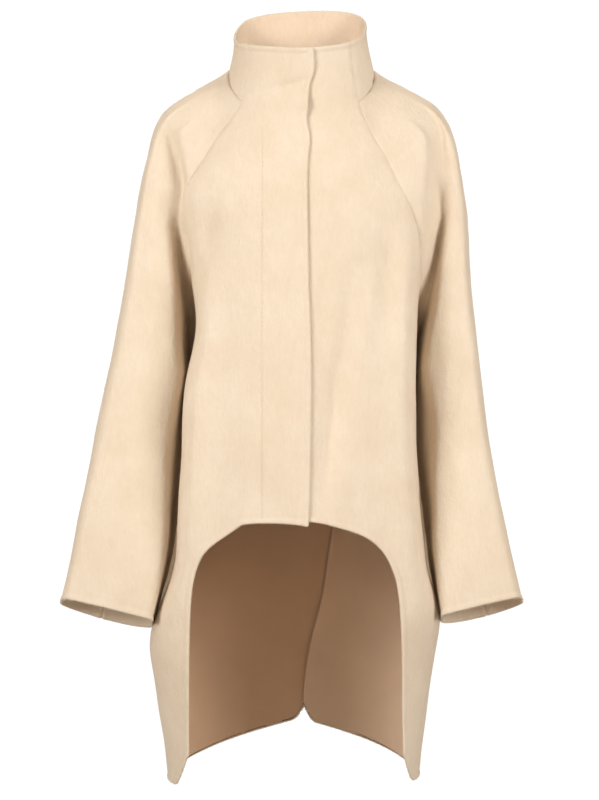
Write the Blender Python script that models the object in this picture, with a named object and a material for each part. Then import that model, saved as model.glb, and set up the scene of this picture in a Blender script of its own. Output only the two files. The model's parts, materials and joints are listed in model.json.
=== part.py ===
"""A felted wool coat with a funnel collar, raglan sleeves and a hem that is short in front and long behind.

Units are metres, +Z is up and the coat faces -Y, so the wearer's right side is at -X. The origin is the centre
of the neck base, where the wearer's shoulders carry the coat. The torso and collar are one tube of rings, and
each sleeve is a tube of sections that starts on the raglan seam. Every cut piece is a cloth wall: a grid of
points on the outside of a tube, and the same grid moved in by the thickness of the cloth.
"""

import math

import bmesh
import bpy
import numpy as np

# Cloth and seams
CLOTH = 0.003
LINING = 0.001
SEAM_GAP = 0.0003
SEAM_BEVEL = 0.0010
LAP_STEP = 0.0044
LINING_INSET = 0.003
LINING_SPACE = 0.0018

# Colours: linear red, green and blue, then roughness
WOOL = ((0.84, 0.67, 0.49), 0.95)
BROWN_LINING = ((0.24, 0.13, 0.073), 0.7)

# Torso and collar: half widths to each side, depths to front and back, how square the oval is, and how much a
# ring rises towards the back. A ring's level is its height where it crosses the coat's mid depth.
RING_COLUMNS = ("level", "right", "left", "front", "back", "square", "rise")
RINGS = (
    (0.080, 0.0945, 0.0965, 0.0850, 0.0750, 0.055, 0.478),
    (0.045, 0.0960, 0.1020, 0.0865, 0.0755, 0.050, 0.470),
    (0.016, 0.1020, 0.1080, 0.0900, 0.0780, 0.045, 0.440),
    (-0.010, 0.1090, 0.1130, 0.0950, 0.0830, 0.045, 0.370),
    (-0.055, 0.1330, 0.1330, 0.1070, 0.0970, 0.045, 0.210),
    (-0.105, 0.1580, 0.1600, 0.1190, 0.1130, 0.045, 0.080),
    (-0.160, 0.1790, 0.1820, 0.1300, 0.1265, 0.045, 0.010),
    (-0.230, 0.1650, 0.1840, 0.1365, 0.1335, 0.045, 0.000),
    (-0.310, 0.1525, 0.1730, 0.1390, 0.1365, 0.045, 0.000),
    (-0.360, 0.1508, 0.1717, 0.1400, 0.1375, 0.045, 0.000),
    (-0.415, 0.1630, 0.1707, 0.1415, 0.1390, 0.045, 0.000),
    (-0.520, 0.1730, 0.1720, 0.1460, 0.1460, 0.045, 0.000),
    (-0.630, 0.1782, 0.1793, 0.1510, 0.1570, 0.045, 0.000),
    (-0.700, 0.1850, 0.1890, 0.1520, 0.1650, 0.045, 0.000),
    (-0.760, 0.2055, 0.2012, 0.1515, 0.1730, 0.045, 0.000),
    (-0.805, 0.2165, 0.1990, 0.1500, 0.1785, 0.045, 0.000),
    (-0.860, 0.2105, 0.1900, 0.1470, 0.1825, 0.045, 0.000),
    (-0.930, 0.1995, 0.1790, 0.1420, 0.1855, 0.045, 0.000),
    (-1.020, 0.1895, 0.1700, 0.1380, 0.1870, 0.045, 0.000),
)

# Side folds by level: the front's corner stands forward, the torso is pressed in beside the sleeve, and behind
# it the back swells out to each side
SIDE_COLUMNS = ("level", "corner", "dent", "right", "left")
SIDE_FOLDS = (
    (0.080, 0.000, 0.000, 0.000, 0.000),
    (-0.060, 0.000, 0.000, 0.000, 0.000),
    (-0.130, 0.002, 0.000, 0.000, 0.000),
    (-0.200, 0.010, 0.000, 0.000, 0.000),
    (-0.270, 0.023, 0.002, 0.000, 0.000),
    (-0.340, 0.030, 0.008, 0.004, 0.004),
    (-0.415, 0.030, 0.013, 0.018, 0.016),
    (-0.470, 0.030, 0.014, 0.028, 0.031),
    (-0.560, 0.030, 0.014, 0.030, 0.036),
    (-0.625, 0.030, 0.014, 0.040, 0.039),
    (-0.690, 0.028, 0.014, 0.048, 0.041),
    (-0.720, 0.024, 0.013, 0.046, 0.038),
    (-0.750, 0.017, 0.010, 0.040, 0.031),
    (-0.780, 0.010, 0.006, 0.032, 0.023),
    (-0.810, 0.005, 0.002, 0.020, 0.015),
    (-0.860, 0.000, 0.000, 0.008, 0.006),
    (-0.930, 0.000, 0.000, 0.000, 0.000),
    (-1.020, 0.000, 0.000, 0.000, 0.000),
)
CORNER_ANGLE, CORNER_SPREAD = 62.0, 18.0
DENT_ANGLE, DENT_SPREAD = 97.0, 13.0
SWELL_ANGLE, SWELL_SPREAD = 128.0, 18.0

# Soft folds of the torso: each runs from a start to an end, given by angle from the centre front in degrees
# and level, with its width and its depth into the cloth
FOLD_COLUMNS = ("start_angle", "start_level", "end_angle", "end_level", "width", "depth")
FOLDS = (
    (-40.0, -0.190, -62.0, -0.300, 0.020, 0.0060),
    (17.0, -0.290, 6.0, -0.600, 0.022, 0.0045),
    (34.0, -0.210, 46.0, -0.360, 0.022, 0.0040),
    (-30.0, -0.430, -33.0, -0.620, 0.030, 0.0030),
    (163.0, -0.560, 177.0, -0.930, 0.018, 0.0060),
    (-150.0, -0.450, -140.0, -0.960, 0.040, 0.0060),
    (138.0, -0.480, 130.0, -0.960, 0.040, 0.0060),
)

# Collar: the neck seam and the rim by angle from the centre front, and the short seams that part it from the
# fronts
NECK_SEAM_COLUMNS = ("angle", "level")
NECK_SEAM = ((40.0, -0.006), (46.0, -0.0025), (90.0, 0.016), (132.0, 0.010), (180.0, 0.005))
RIM_COLUMNS = ("angle", "right", "left")
RIM = (
    (0.0, 0.080, 0.080),
    (45.0, 0.079, 0.084),
    (90.0, 0.068, 0.083),
    (130.0, 0.073, 0.083),
    (180.0, 0.080, 0.080),
)
RIM_LEVEL = 0.080
COLLAR_TOP_ANGLE = {"right": 43.5, "left": 42.0}

# Raglan seams by station, from the neck seam at 0 to the underarm at 1: angles from the centre front
RAGLAN_COLUMNS = ("station", "right", "left", "behind")
RAGLAN = (
    (0.00, 46.0, 44.0, 132.0),
    (0.13, 49.5, 42.5, 130.0),
    (0.25, 52.0, 43.5, 127.0),
    (0.38, 59.0, 47.5, 122.0),
    (0.50, 66.5, 58.0, 118.0),
    (0.63, 76.5, 70.0, 113.0),
    (0.80, 90.0, 87.0, 107.0),
    (1.00, 101.0, 101.0, 101.0),
)
UNDERARM_LEVEL = -0.415

# Sleeves by station, on from the underarm at 1 to the cuff at 2: the outer line's distance to the side and its
# height, the depth of the tube's middle, and how far the front and back halves reach out
SLEEVE_COLUMNS = ("station", "out", "height", "middle", "front_reach", "back_reach")
SLEEVES = {
    "right": (
        (0.00, 0.1030, 0.0160, 0.000, 0.034, 0.034),
        (0.13, 0.1660, -0.0162, 0.000, 0.045, 0.046),
        (0.25, 0.2023, -0.0467, 0.000, 0.056, 0.053),
        (0.38, 0.2185, -0.0902, 0.000, 0.076, 0.057),
        (0.50, 0.2300, -0.1380, 0.000, 0.085, 0.062),
        (0.63, 0.2400, -0.1960, 0.000, 0.088, 0.069),
        (0.80, 0.2500, -0.2640, 0.000, 0.090, 0.084),
        (1.00, 0.2710, -0.3870, 0.000, 0.090, 0.094),
        (1.25, 0.2885, -0.4715, -0.002, 0.090, 0.092),
        (1.50, 0.3050, -0.5585, -0.010, 0.090, 0.090),
        (1.75, 0.3230, -0.6500, -0.025, 0.087, 0.087),
        (2.00, 0.3415, -0.7473, -0.0435, 0.082, 0.082),
    ),
    "left": (
        (0.00, 0.1080, 0.0165, 0.000, 0.034, 0.034),
        (0.13, 0.1700, -0.0130, 0.000, 0.045, 0.046),
        (0.25, 0.2070, -0.0394, 0.000, 0.056, 0.053),
        (0.38, 0.2285, -0.0887, 0.000, 0.076, 0.057),
        (0.50, 0.2370, -0.1380, 0.000, 0.085, 0.062),
        (0.63, 0.2443, -0.1960, 0.000, 0.088, 0.069),
        (0.80, 0.2487, -0.2656, 0.000, 0.090, 0.084),
        (1.00, 0.2588, -0.3870, 0.000, 0.090, 0.094),
        (1.25, 0.2690, -0.4715, -0.002, 0.090, 0.092),
        (1.50, 0.2812, -0.5585, -0.010, 0.090, 0.090),
        (1.75, 0.2985, -0.6500, -0.025, 0.087, 0.087),
        (2.00, 0.3186, -0.7460, -0.0435, 0.082, 0.082),
    ),
}
UNDERARM_COLUMNS = ("station", "in", "height", "depth")
UNDERARMS = {
    "right": (
        (1.25, 0.1690, -0.5050, 0.022),
        (1.50, 0.1775, -0.5950, 0.012),
        (1.75, 0.1910, -0.6850, -0.005),
        (2.00, 0.2105, -0.7770, -0.036),
    ),
    "left": (
        (1.25, 0.1700, -0.5000, 0.022),
        (1.50, 0.1815, -0.5900, 0.012),
        (1.75, 0.1920, -0.6800, -0.005),
        (2.00, 0.2035, -0.7690, -0.036),
    ),
}
FLAT_STATIONS = (0.14, 0.42)
CORNER_SHARE = 0.75
LEAVING_CUT = 0.35
CREST_SHARE = 0.38
CREST_DEPTH = 0.056
EDGE_TURN = 0.026
BACK_LEAN = 0.7
CUFF_SLOPE = 0.26

# The arm's inner front corner by station: how far out from the valley it is, its share of the full
# depth, and how far in from the outer line the depth is full
ARM_COLUMNS = ("station", "turn", "share", "inset")
ARMS = {
    "right": (
        (0.00, 0.018, 0.90, 0.020),
        (0.40, 0.015, 1.00, 0.010),
        (0.60, 0.013, 1.00, 0.008),
        (0.90, 0.012, 0.97, 0.008),
        (1.20, 0.013, 0.88, 0.007),
        (1.50, 0.006, 0.94, 0.007),
        (2.00, 0.004, 0.95, 0.007),
    ),
    "left": (
        (0.00, 0.018, 0.90, 0.020),
        (0.40, 0.015, 1.00, 0.010),
        (0.60, 0.013, 1.00, 0.008),
        (0.75, 0.016, 0.95, 0.009),
        (0.95, 0.022, 0.88, 0.008),
        (1.20, 0.023, 0.84, 0.007),
        (1.50, 0.006, 0.93, 0.007),
        (2.00, 0.003, 0.95, 0.007),
    ),
}

# Armpit folds by height: out past the raglan seam the cloth keeps forward to an edge, then falls back into a
# valley of this depth
ARMPIT_COLUMNS = ("height", "edge", "valley", "depth")
ARMPITS = {
    "right": (
        (-0.030, 0.1770, 0.1850, -0.056),
        (-0.065, 0.1740, 0.1800, -0.058),
        (-0.093, 0.1690, 0.1750, -0.061),
        (-0.115, 0.1660, 0.1720, -0.061),
        (-0.136, 0.1645, 0.1710, -0.060),
        (-0.158, 0.1630, 0.1710, -0.058),
        (-0.179, 0.1610, 0.1725, -0.053),
        (-0.200, 0.1595, 0.1755, -0.042),
        (-0.229, 0.1575, 0.1770, -0.021),
        (-0.257, 0.1568, 0.1732, -0.010),
        (-0.286, 0.1533, 0.1690, 0.000),
        (-0.314, 0.1497, 0.1645, 0.008),
        (-0.343, 0.1476, 0.1615, 0.018),
        (-0.372, 0.1469, 0.1605, 0.026),
        (-0.415, 0.1480, 0.1550, 0.028),
        (-0.800, 0.1480, 0.1550, 0.028),
    ),
    "left": (
        (-0.030, 0.1850, 0.1930, -0.060),
        (-0.075, 0.1804, 0.1870, -0.066),
        (-0.101, 0.1790, 0.1880, -0.070),
        (-0.136, 0.1782, 0.1930, -0.068),
        (-0.165, 0.1775, 0.1985, -0.056),
        (-0.193, 0.1775, 0.2030, -0.044),
        (-0.222, 0.1785, 0.2010, -0.030),
        (-0.250, 0.1775, 0.1968, -0.016),
        (-0.279, 0.1730, 0.1925, -0.004),
        (-0.314, 0.1682, 0.1860, 0.006),
        (-0.343, 0.1675, 0.1790, 0.016),
        (-0.374, 0.1640, 0.1690, 0.026),
        (-0.415, 0.1540, 0.1600, 0.028),
        (-0.800, 0.1540, 0.1600, 0.028),
    ),
}
EDGE_FALL = 0.35
SLEEVE_SEAM_AT_NECK = 0.50
SLEEVE_SEAM_AT_CUFF = 0.75
VALLEY_STATIONS = (0.30, 0.70)
NECK_MATCH_STATION = 0.30

# Front opening and hem. The arch's half widths are what shows from straight in front.
FRONT_EDGE_X = {"right": 0.012, "left": -0.045}
CROWN_LEVEL = -0.630
CROWN_EDGE_LEVEL = {"right": -0.6315, "left": -0.6250}
CROWN_LIFT = 0.004
ARCH_COLUMNS = ("level", "right", "left")
ARCH = (
    (-0.630, 0.0820, 0.0430),
    (-0.640, 0.0960, 0.0770),
    (-0.655, 0.1180, 0.1050),
    (-0.672, 0.1355, 0.1205),
    (-0.690, 0.1445, 0.1300),
    (-0.715, 0.1510, 0.1380),
    (-0.750, 0.1545, 0.1425),
    (-0.800, 0.1560, 0.1455),
    (-0.880, 0.1568, 0.1467),
    (-0.960, 0.1590, 0.1490),
)
TAIL_CORNER_LEVEL = -0.957
TAIL_TIP_LEVEL = {"right": -1.002, "left": -0.997}
TAIL_CORNER_SHARE = 0.35
BACK_HEM_LEVEL = -0.940
VENT_HEIGHT = 0.024
VENT_WIDTH_ANGLE = 5.0
UNDERARM_ANGLE = 101.0
SIDE_SEAM_ANGLES = (101.0, 97.0)

# The seam between the lining's halves by level: degrees from the centre back towards the wearer's left
LINING_SEAM_COLUMNS = ("level", "lean")
LINING_SEAM = ((0.080, 0.0), (-0.200, 13.0), (-0.450, 19.0), (-0.650, 13.5), (-0.910, 2.0), (-1.020, 0.0))

# Where the right front rises to lap over the left one
LAP_ANGLES = (-43.0, -17.0)

# Grid lines, as shares of a stretch
COLLAR_ROWS = np.linspace(0, 1, 4)
UPPER_ROWS = np.linspace(0, 1, 6)
LOWER_ROWS = np.array([0.0, 0.03, 0.075, 0.13, 0.19, 0.27, 0.36, 0.45, 0.54, 0.66, 0.83, 1.0])
CAP_STATIONS = np.array([0.0, 0.09, 0.18, 0.26, 0.34, 0.41, 0.48, 0.55, 0.63, 0.72, 0.81, 0.9, 1.0])
TUBE_STATIONS = np.linspace(1, 2, 9)
CROWN_COLUMNS = 4
TAIL_COLUMNS = np.array([0.0, 0.09, 0.2, 0.35, 0.5, 0.67, 0.84, 1.0])
BACK_COLUMNS = np.concatenate([np.linspace(0, 0.88, 14), [0.93, 0.97, 1.0]])
SLEEVE_FRONT_COLUMNS = 18
SLEEVE_BACK_COLUMNS = 7
NUDGE = 1e-4


def spline(knots, values, at):
    """A natural cubic spline through the values at the knots, level beyond its two ends."""
    count = len(knots)
    steps = np.diff(knots)
    slopes = np.diff(values) / steps
    system = np.eye(count)
    bends = np.zeros(count)
    for i in range(1, count - 1):
        system[i, i - 1 : i + 2] = steps[i - 1], 2 * (steps[i - 1] + steps[i]), steps[i]
        bends[i] = 6 * (slopes[i] - slopes[i - 1])
    curve = np.linalg.solve(system, bends)
    at = np.clip(at, knots[0], knots[-1])
    i = np.clip(np.searchsorted(knots, at, side="right") - 1, 0, count - 2)
    past = (at - knots[i]) / steps[i]
    left = 1 - past
    straight = left * values[i] + past * values[i + 1]
    return straight + steps[i] ** 2 / 6 * ((left**3 - left) * curve[i] + (past**3 - past) * curve[i + 1])


def ramp(value, low, high):
    """0 below low, 1 above high, and a smooth rise between them."""
    share = np.clip((value - low) / (high - low), 0, 1)
    return share * share * (3 - 2 * share)


def unit(vectors):
    return vectors / np.maximum(np.linalg.norm(vectors, axis=-1, keepdims=True), 1e-12)


class Curves:
    """A table's columns as smooth curves of its first column."""

    def __init__(self, names, rows):
        knots = np.array(sorted(rows), float)
        self.at = np.linspace(knots[0, 0], knots[-1, 0], 4000)
        self.columns = {name: spline(knots[:, 0], knots[:, i], self.at) for i, name in enumerate(names)}

    def __call__(self, name, at):
        return np.interp(at, self.at, self.columns[name])


SIGN = {"right": -1.0, "left": 1.0}
RING = Curves(RING_COLUMNS, RINGS)
NECK = Curves(NECK_SEAM_COLUMNS, NECK_SEAM)
RIM_LINE = Curves(RIM_COLUMNS, RIM)
RAGLAN_LINE = Curves(RAGLAN_COLUMNS, RAGLAN)
ARCH_LINE = Curves(ARCH_COLUMNS, ARCH)
LINING_LINE = Curves(LINING_SEAM_COLUMNS, LINING_SEAM)
SIDE = Curves(SIDE_COLUMNS, SIDE_FOLDS)


def oval(angle, square):
    """Sideways and frontward shares of a squared oval at an angle from its front."""
    across = (np.sin(angle) + square * np.sin(3 * angle)) / (1 - square)
    along = (np.cos(angle) - square * np.cos(3 * angle)) / (1 - square)
    return across, along


def plain_torso(angle, level):
    """A point on the torso tube before its folds. The angle is from the centre front, + to the left."""
    across, along = oval(angle, RING("square", level))
    half_width = np.where(np.sin(angle) < 0, RING("right", level), RING("left", level))
    depth = np.where(np.cos(angle) > 0, RING("front", level), RING("back", level))
    y = -depth * along
    degrees = from_front(angle)
    y = y - SIDE("corner", level) * np.exp(-(((degrees - CORNER_ANGLE) / CORNER_SPREAD) ** 2))
    dent = SIDE("dent", level) * np.exp(-(((degrees - DENT_ANGLE) / DENT_SPREAD) ** 2))
    swell = np.where(np.sin(angle) < 0, SIDE("right", level), SIDE("left", level))
    swell = swell * np.exp(-(((degrees - SWELL_ANGLE) / SWELL_SPREAD) ** 2))
    x = half_width * across + np.sign(np.sin(angle)) * (swell - dent)
    return np.stack([x, y, level + RING("rise", level) * y], axis=-1)


def fold_depth(points):
    """How deep the folds sink the cloth at these points."""
    sunk = np.zeros(points.shape[:-1])
    for row in FOLDS:
        fold = dict(zip(FOLD_COLUMNS, row))
        ends = plain_torso(
            np.radians([fold["start_angle"], fold["end_angle"]]),
            np.array([fold["start_level"], fold["end_level"]]),
        )
        run = ends[1] - ends[0]
        along = np.clip((points - ends[0]) @ run / (run @ run), 0, 1)
        beside = np.linalg.norm(points - ends[0] - along[..., None] * run, axis=-1)
        swell = np.sin(math.pi * (0.12 + 0.76 * along))
        sunk += fold["depth"] * swell * np.exp(-((beside / fold["width"]) ** 2))
    return sunk


def normal_of(surface, first, second):
    """The unit normal of a surface of two parameters, measured across a small step each way."""
    along = surface(first + NUDGE, second) - surface(first - NUDGE, second)
    across = surface(first, second + NUDGE) - surface(first, second - NUDGE)
    return unit(np.cross(along, across))


def torso(angle, level):
    """A point on the outside of the torso tube, folds included."""
    points = plain_torso(angle, level)
    return points - fold_depth(points)[..., None] * normal_of(plain_torso, angle, level)


def torso_normal(angle, level):
    return normal_of(torso, angle, level)


def angle_at(side, half_width, level):
    """The angle, in radians and unsigned, where the front of a ring is this far to the side."""
    low = np.zeros(np.shape(level))
    high = np.full(np.shape(level), math.pi / 2)
    for _ in range(40):
        middle = (low + high) / 2
        across, _along = oval(middle, RING("square", level))
        short = across * RING(side, level) < half_width
        low = np.where(short, middle, low)
        high = np.where(short, high, middle)
    return (low + high) / 2


def from_front(angle):
    """The angle from the centre front in degrees, 0 to 180 whichever way round."""
    return np.degrees(np.arccos(np.clip(np.cos(angle), -1, 1)))


def neck_level(angle):
    return NECK("level", from_front(angle))


def rim_level(angle):
    degrees = from_front(angle)
    return np.where(np.sin(angle) < 0, RIM_LINE("right", degrees), RIM_LINE("left", degrees))


def raglan_angle(column, station):
    return np.radians(RAGLAN_LINE(column, np.minimum(station, 1)))


def raglan_level(column, station):
    """The level of a raglan seam, which drops evenly from the neck seam to the underarm."""
    start = neck_level(raglan_angle(column, np.zeros(1)))[0]
    return start + (UNDERARM_LEVEL - start) * np.minimum(station, 1)


def side_seam_angle(level):
    """The side seam drifts a little to the back below the underarm."""
    share = (UNDERARM_LEVEL - level) / (UNDERARM_LEVEL - TAIL_TIP_LEVEL["right"])
    start, end = np.radians(SIDE_SEAM_ANGLES)
    return start + (end - start) * np.clip(share, 0, 1)


class Sleeve:
    """One sleeve as rows of sections: by station, and by share of a section from front seam to back seam."""

    def __init__(self, side):
        self.side = side
        self.outer = Curves(SLEEVE_COLUMNS, SLEEVES[side])
        underarm = torso(np.array(SIGN[side] * math.radians(UNDERARM_ANGLE)), np.array(UNDERARM_LEVEL))
        first = (1.0, abs(underarm[0]), underarm[2], underarm[1])
        self.inner = Curves(UNDERARM_COLUMNS, (first, *UNDERARMS[side]))
        self.armpit = Curves(ARMPIT_COLUMNS, ARMPITS[side])
        self.arm = Curves(ARM_COLUMNS, ARMS[side])

    def outer_line(self, station):
        x = SIGN[self.side] * self.outer("out", station)
        return np.stack([x, self.outer("middle", station), self.outer("height", station)], axis=-1)

    def seam_line(self, column, station):
        """The front or back edge of the sleeve: on the raglan seam, then down the underarm seam."""
        raglan = torso(SIGN[self.side] * raglan_angle(column, station), raglan_level(column, station))
        x = SIGN[self.side] * self.inner("in", station)
        tube = np.stack([x, self.inner("depth", station), self.inner("height", station)], axis=-1)
        return np.where((station <= 1)[..., None], raglan, tube)

    def leaving(self, column, station, seam, outer, forward):
        """The way a section leaves its seam: along the chest at first, and out of a valley further down."""
        angle = SIGN[self.side] * raglan_angle(column, station)
        normal = torso_normal(angle, raglan_level(column, station))
        run = outer - seam
        tangent = unit(run - np.sum(run * normal, axis=-1, keepdims=True) * normal)
        outward = 0.4 * np.clip(1.2 - station, 0, 1)
        if forward > 0:
            outward = outward + BACK_LEAN * ramp(station, 0.85, 1.15)
        valley = unit(np.stack([SIGN[self.side] * outward, forward + 0 * outward, 0 * outward], axis=-1))
        weight = ramp(station, *VALLEY_STATIONS)[..., None]
        return unit((1 - weight) * tangent + weight * valley)

    def even_half(self, column, forward, station, share):
        """Half of each section as an even curve from its seam at share 0 to the outer line at share 1."""
        outer = self.outer_line(station)
        seam = self.seam_line(column, station)
        length = self.outer("front_reach" if forward < 0 else "back_reach", station)[..., None]
        first = seam + length * self.leaving(column, station, seam, outer, forward)
        second = outer + length * np.array([0.0, forward, 0.0])
        flat = ramp(station, *FLAT_STATIONS)[:, None]
        inward = (seam - outer) * np.array([1.0, 0.0, 1.0])
        crest = outer + CREST_SHARE * inward + np.array([0.0, forward * CREST_DEPTH, 0.0])
        turn = outer + np.array([0.0, forward * EDGE_TURN, 0.0])
        controls = (
            seam,
            seam + (0.75 - LEAVING_CUT * flat) * (first - seam),
            (1 - flat) * (first + second) / 2 + flat * crest,
            (1 - flat) * (3 * second + outer) / 4 + flat * turn,
            outer,
        )
        share = share[..., None]
        rest = 1 - share
        weights = (rest**4, 4 * rest**3 * share, 6 * rest**2 * share**2, 4 * rest * share**3, share**4)
        return sum(weight * control[:, None, :] for weight, control in zip(weights, controls))

    def folded_half(self, station, share):
        """The front half of each section: the seam, the armpit fold's edge, its valley and the flat arm."""
        seam = self.seam_line(self.side, station)
        outer = self.outer_line(station)
        near, far = np.abs(seam[:, 0]), np.abs(outer[:, 0])
        above = np.clip(1.06 - station, 0, 0.06)[:, None] / 0.06

        def at(x, y):
            level = seam[:, 2] + (outer[:, 2] - seam[:, 2]) * (x - near) / (far - near)
            return np.stack([SIGN[self.side] * x, y, level], axis=-1)

        height = seam[:, 2]
        for _ in range(3):
            valley_x = np.maximum(self.armpit("valley", height), near + 0.002)
            height = at(valley_x, 0 * near)[:, 2]
        edge_x = np.maximum(self.armpit("edge", height), near)
        edge = at(edge_x, seam[:, 1] + EDGE_FALL * (edge_x - near))
        valley = above * at(valley_x, self.armpit("depth", height)) + (1 - above) * seam
        edge = above * edge + (1 - above) * seam
        valley_x = np.abs(valley[:, 0])
        depth = CORNER_SHARE * self.outer("front_reach", station)
        arm = at(valley_x + self.arm("turn", station), outer[:, 1] - self.arm("share", station) * depth)
        corner = at(far - self.arm("inset", station), outer[:, 1] - depth)
        middle = (arm + corner) / 2 - np.array([0.0, 0.005, 0.0])
        down = edge + 0.6 * (valley - edge)
        up = valley + 0.35 * (arm - valley)
        flat = middle + 0.6 * (corner - middle)
        path = np.stack([seam, edge, down, valley, up, arm, middle, flat, corner, outer], axis=1)
        for _ in range(4):
            near_first = 0.75 * path[:, :-1] + 0.25 * path[:, 1:]
            near_second = 0.25 * path[:, :-1] + 0.75 * path[:, 1:]
            cut = np.stack([near_first, near_second], axis=2).reshape(len(path), -1, 3)
            path = np.concatenate([path[:, :1], cut, path[:, -1:]], axis=1)
        length = np.concatenate(
            [0 * near[:, None], np.cumsum(np.linalg.norm(np.diff(path, axis=1), axis=-1), axis=1)], axis=1
        )
        points = np.empty((*share.shape, 3))
        for i in range(len(path)):
            for k in range(3):
                points[i, :, k] = np.interp(share[i] * length[i, -1], length[i], path[i, :, k])
        return points

    def drape(self, station, share):
        share_front = np.clip(2 * share, 0, 1)
        flat = ramp(station, *FLAT_STATIONS)[:, None, None]
        front = (1 - flat) * self.even_half(self.side, -1.0, station, share_front)
        front = front + flat * self.folded_half(station, share_front)
        back = self.even_half("behind", 1.0, station, np.clip(2 - 2 * share, 0, 1))
        points = np.where((share < 0.5)[..., None], front, back)
        slope = CUFF_SLOPE * ramp(station, 1.2, 2.0)[:, None]
        points[..., 2] -= slope * (points[..., 1] - self.outer("middle", station)[:, None])
        return points

    def neck_angle(self, share):
        front = raglan_angle(self.side, np.zeros(1))[0]
        back = raglan_angle("behind", np.zeros(1))[0]
        return SIGN[self.side] * (front + (back - front) * share)

    def __call__(self, share, station):
        """Points on the outside of the sleeve, one row to a station. The first row lies on the neck seam."""
        share = np.clip(share, 0, 1)
        station = np.clip(station[:, 0], 0, 2)
        angle = self.neck_angle(share)
        miss = torso(angle, neck_level(angle)) - self.drape(0 * station, share)
        weight = np.clip(1 - station / NECK_MATCH_STATION, 0, 1)[:, None, None] ** 2
        return self.drape(station, share) + weight * miss

    def seam_share(self, station):
        """Where the overarm seam lies: on top at the neck, drifting to the back of the cuff."""
        return SLEEVE_SEAM_AT_NECK + (SLEEVE_SEAM_AT_CUFF - SLEEVE_SEAM_AT_NECK) * ramp(station, 0.3, 2.0)


def pulled_in(grid, edges, distance):
    """The grid with some of its edges moved towards their neighbours, which leaves room for a seam."""
    moved = grid.copy()
    for edge in edges:
        row, beside = {
            "top": (np.s_[0], np.s_[1]),
            "bottom": (np.s_[-1], np.s_[-2]),
            "start": (np.s_[:, 0], np.s_[:, 1]),
            "end": (np.s_[:, -1], np.s_[:, -2]),
        }[edge]
        moved[row] += distance * unit(moved[beside] - moved[row])
    return moved


def wall_mesh(name, outer, inner, cells):
    """A closed wall between two grids of the same shape, over the cells that are kept."""
    rows, columns = outer.shape[:2]
    number = np.arange(rows * columns).reshape(rows, columns)
    corners = np.stack([number[:-1, :-1], number[:-1, 1:], number[1:, 1:], number[1:, :-1]], axis=-1)[cells]
    edges = np.concatenate([corners[:, [k, (k + 1) % 4]] for k in range(4)])
    _, first, count = np.unique(np.sort(edges, axis=1), axis=0, return_index=True, return_counts=True)
    rim = edges[first[count == 1]]
    size = rows * columns
    faces = [tuple(face) for face in corners]
    faces += [tuple(face[[0, 3, 2, 1]] + size) for face in corners]
    faces += [(a, a + size, b + size, b) for a, b in rim]
    mesh = bpy.data.meshes.new(name)
    mesh.from_pydata(np.concatenate([outer.reshape(-1, 3), inner.reshape(-1, 3)]), [], faces)
    tidy = bmesh.new()
    tidy.from_mesh(mesh)
    bmesh.ops.delete(tidy, geom=[v for v in tidy.verts if not v.link_faces], context="VERTS")
    bmesh.ops.recalc_face_normals(tidy, faces=tidy.faces)
    tidy.to_mesh(mesh)
    tidy.free()
    return mesh


def make_material(name, finish):
    colour, roughness = finish
    material = bpy.data.materials.new(name)
    material.use_nodes = True
    shader = material.node_tree.nodes["Principled BSDF"]
    shader.inputs["Base Color"].default_value = (*colour, 1.0)
    shader.inputs["Roughness"].default_value = roughness
    shader.inputs["Metallic"].default_value = 0.0
    return material


def make_wall(name, outer, normals, seams, material, collection, start=0.0, thickness=CLOTH, cells=None):
    """One cut piece. start is how far its outer face lies inside the grid, and seams names its sewn edges."""
    if cells is None:
        cells = np.ones((outer.shape[0] - 1, outer.shape[1] - 1), bool)
    near = pulled_in(outer - start * normals, seams, SEAM_GAP / 2)
    far = pulled_in(near - thickness * normals, seams, SEAM_BEVEL)
    mesh = wall_mesh(name, near, far, cells)
    mesh.shade_smooth()
    mesh.set_sharp_from_angle(angle=math.radians(50))
    mesh.materials.append(material)
    piece = bpy.data.objects.new(name, mesh)
    collection.objects.link(piece)
    return piece


def side_levels(hem):
    """Levels below the underarm along one grid line: down to the crown of the arch, then on to the hem."""
    upper = UNDERARM_LEVEL + (CROWN_LEVEL - UNDERARM_LEVEL) * UPPER_ROWS[1:]
    lower = CROWN_LEVEL + (hem - CROWN_LEVEL) * LOWER_ROWS[1:]
    return np.concatenate([upper, lower])


def tail_hem(side, share):
    """The front piece's hem beside the arch: a cut-off corner, then level to the side seam."""
    drop = ramp(share, -TAIL_CORNER_SHARE, TAIL_CORNER_SHARE)
    return TAIL_CORNER_LEVEL + (TAIL_TIP_LEVEL[side] - TAIL_CORNER_LEVEL) * (2 * drop - 1)


def back_hem(side, angle):
    """The back piece's hem: it rises evenly across from the side seam to the centre back, where a vent opens."""
    share = 1 - np.abs(np.sin(angle)) / math.sin(math.radians(SIDE_SEAM_ANGLES[1]))
    level = TAIL_TIP_LEVEL[side] + (BACK_HEM_LEVEL - TAIL_TIP_LEVEL[side]) * np.clip(share, 0, 1)
    from_middle = np.degrees(np.abs(math.pi - np.abs(angle))) / VENT_WIDTH_ANGLE
    return level + VENT_HEIGHT * np.clip(1 - from_middle, 0, 1) ** 2


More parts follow.
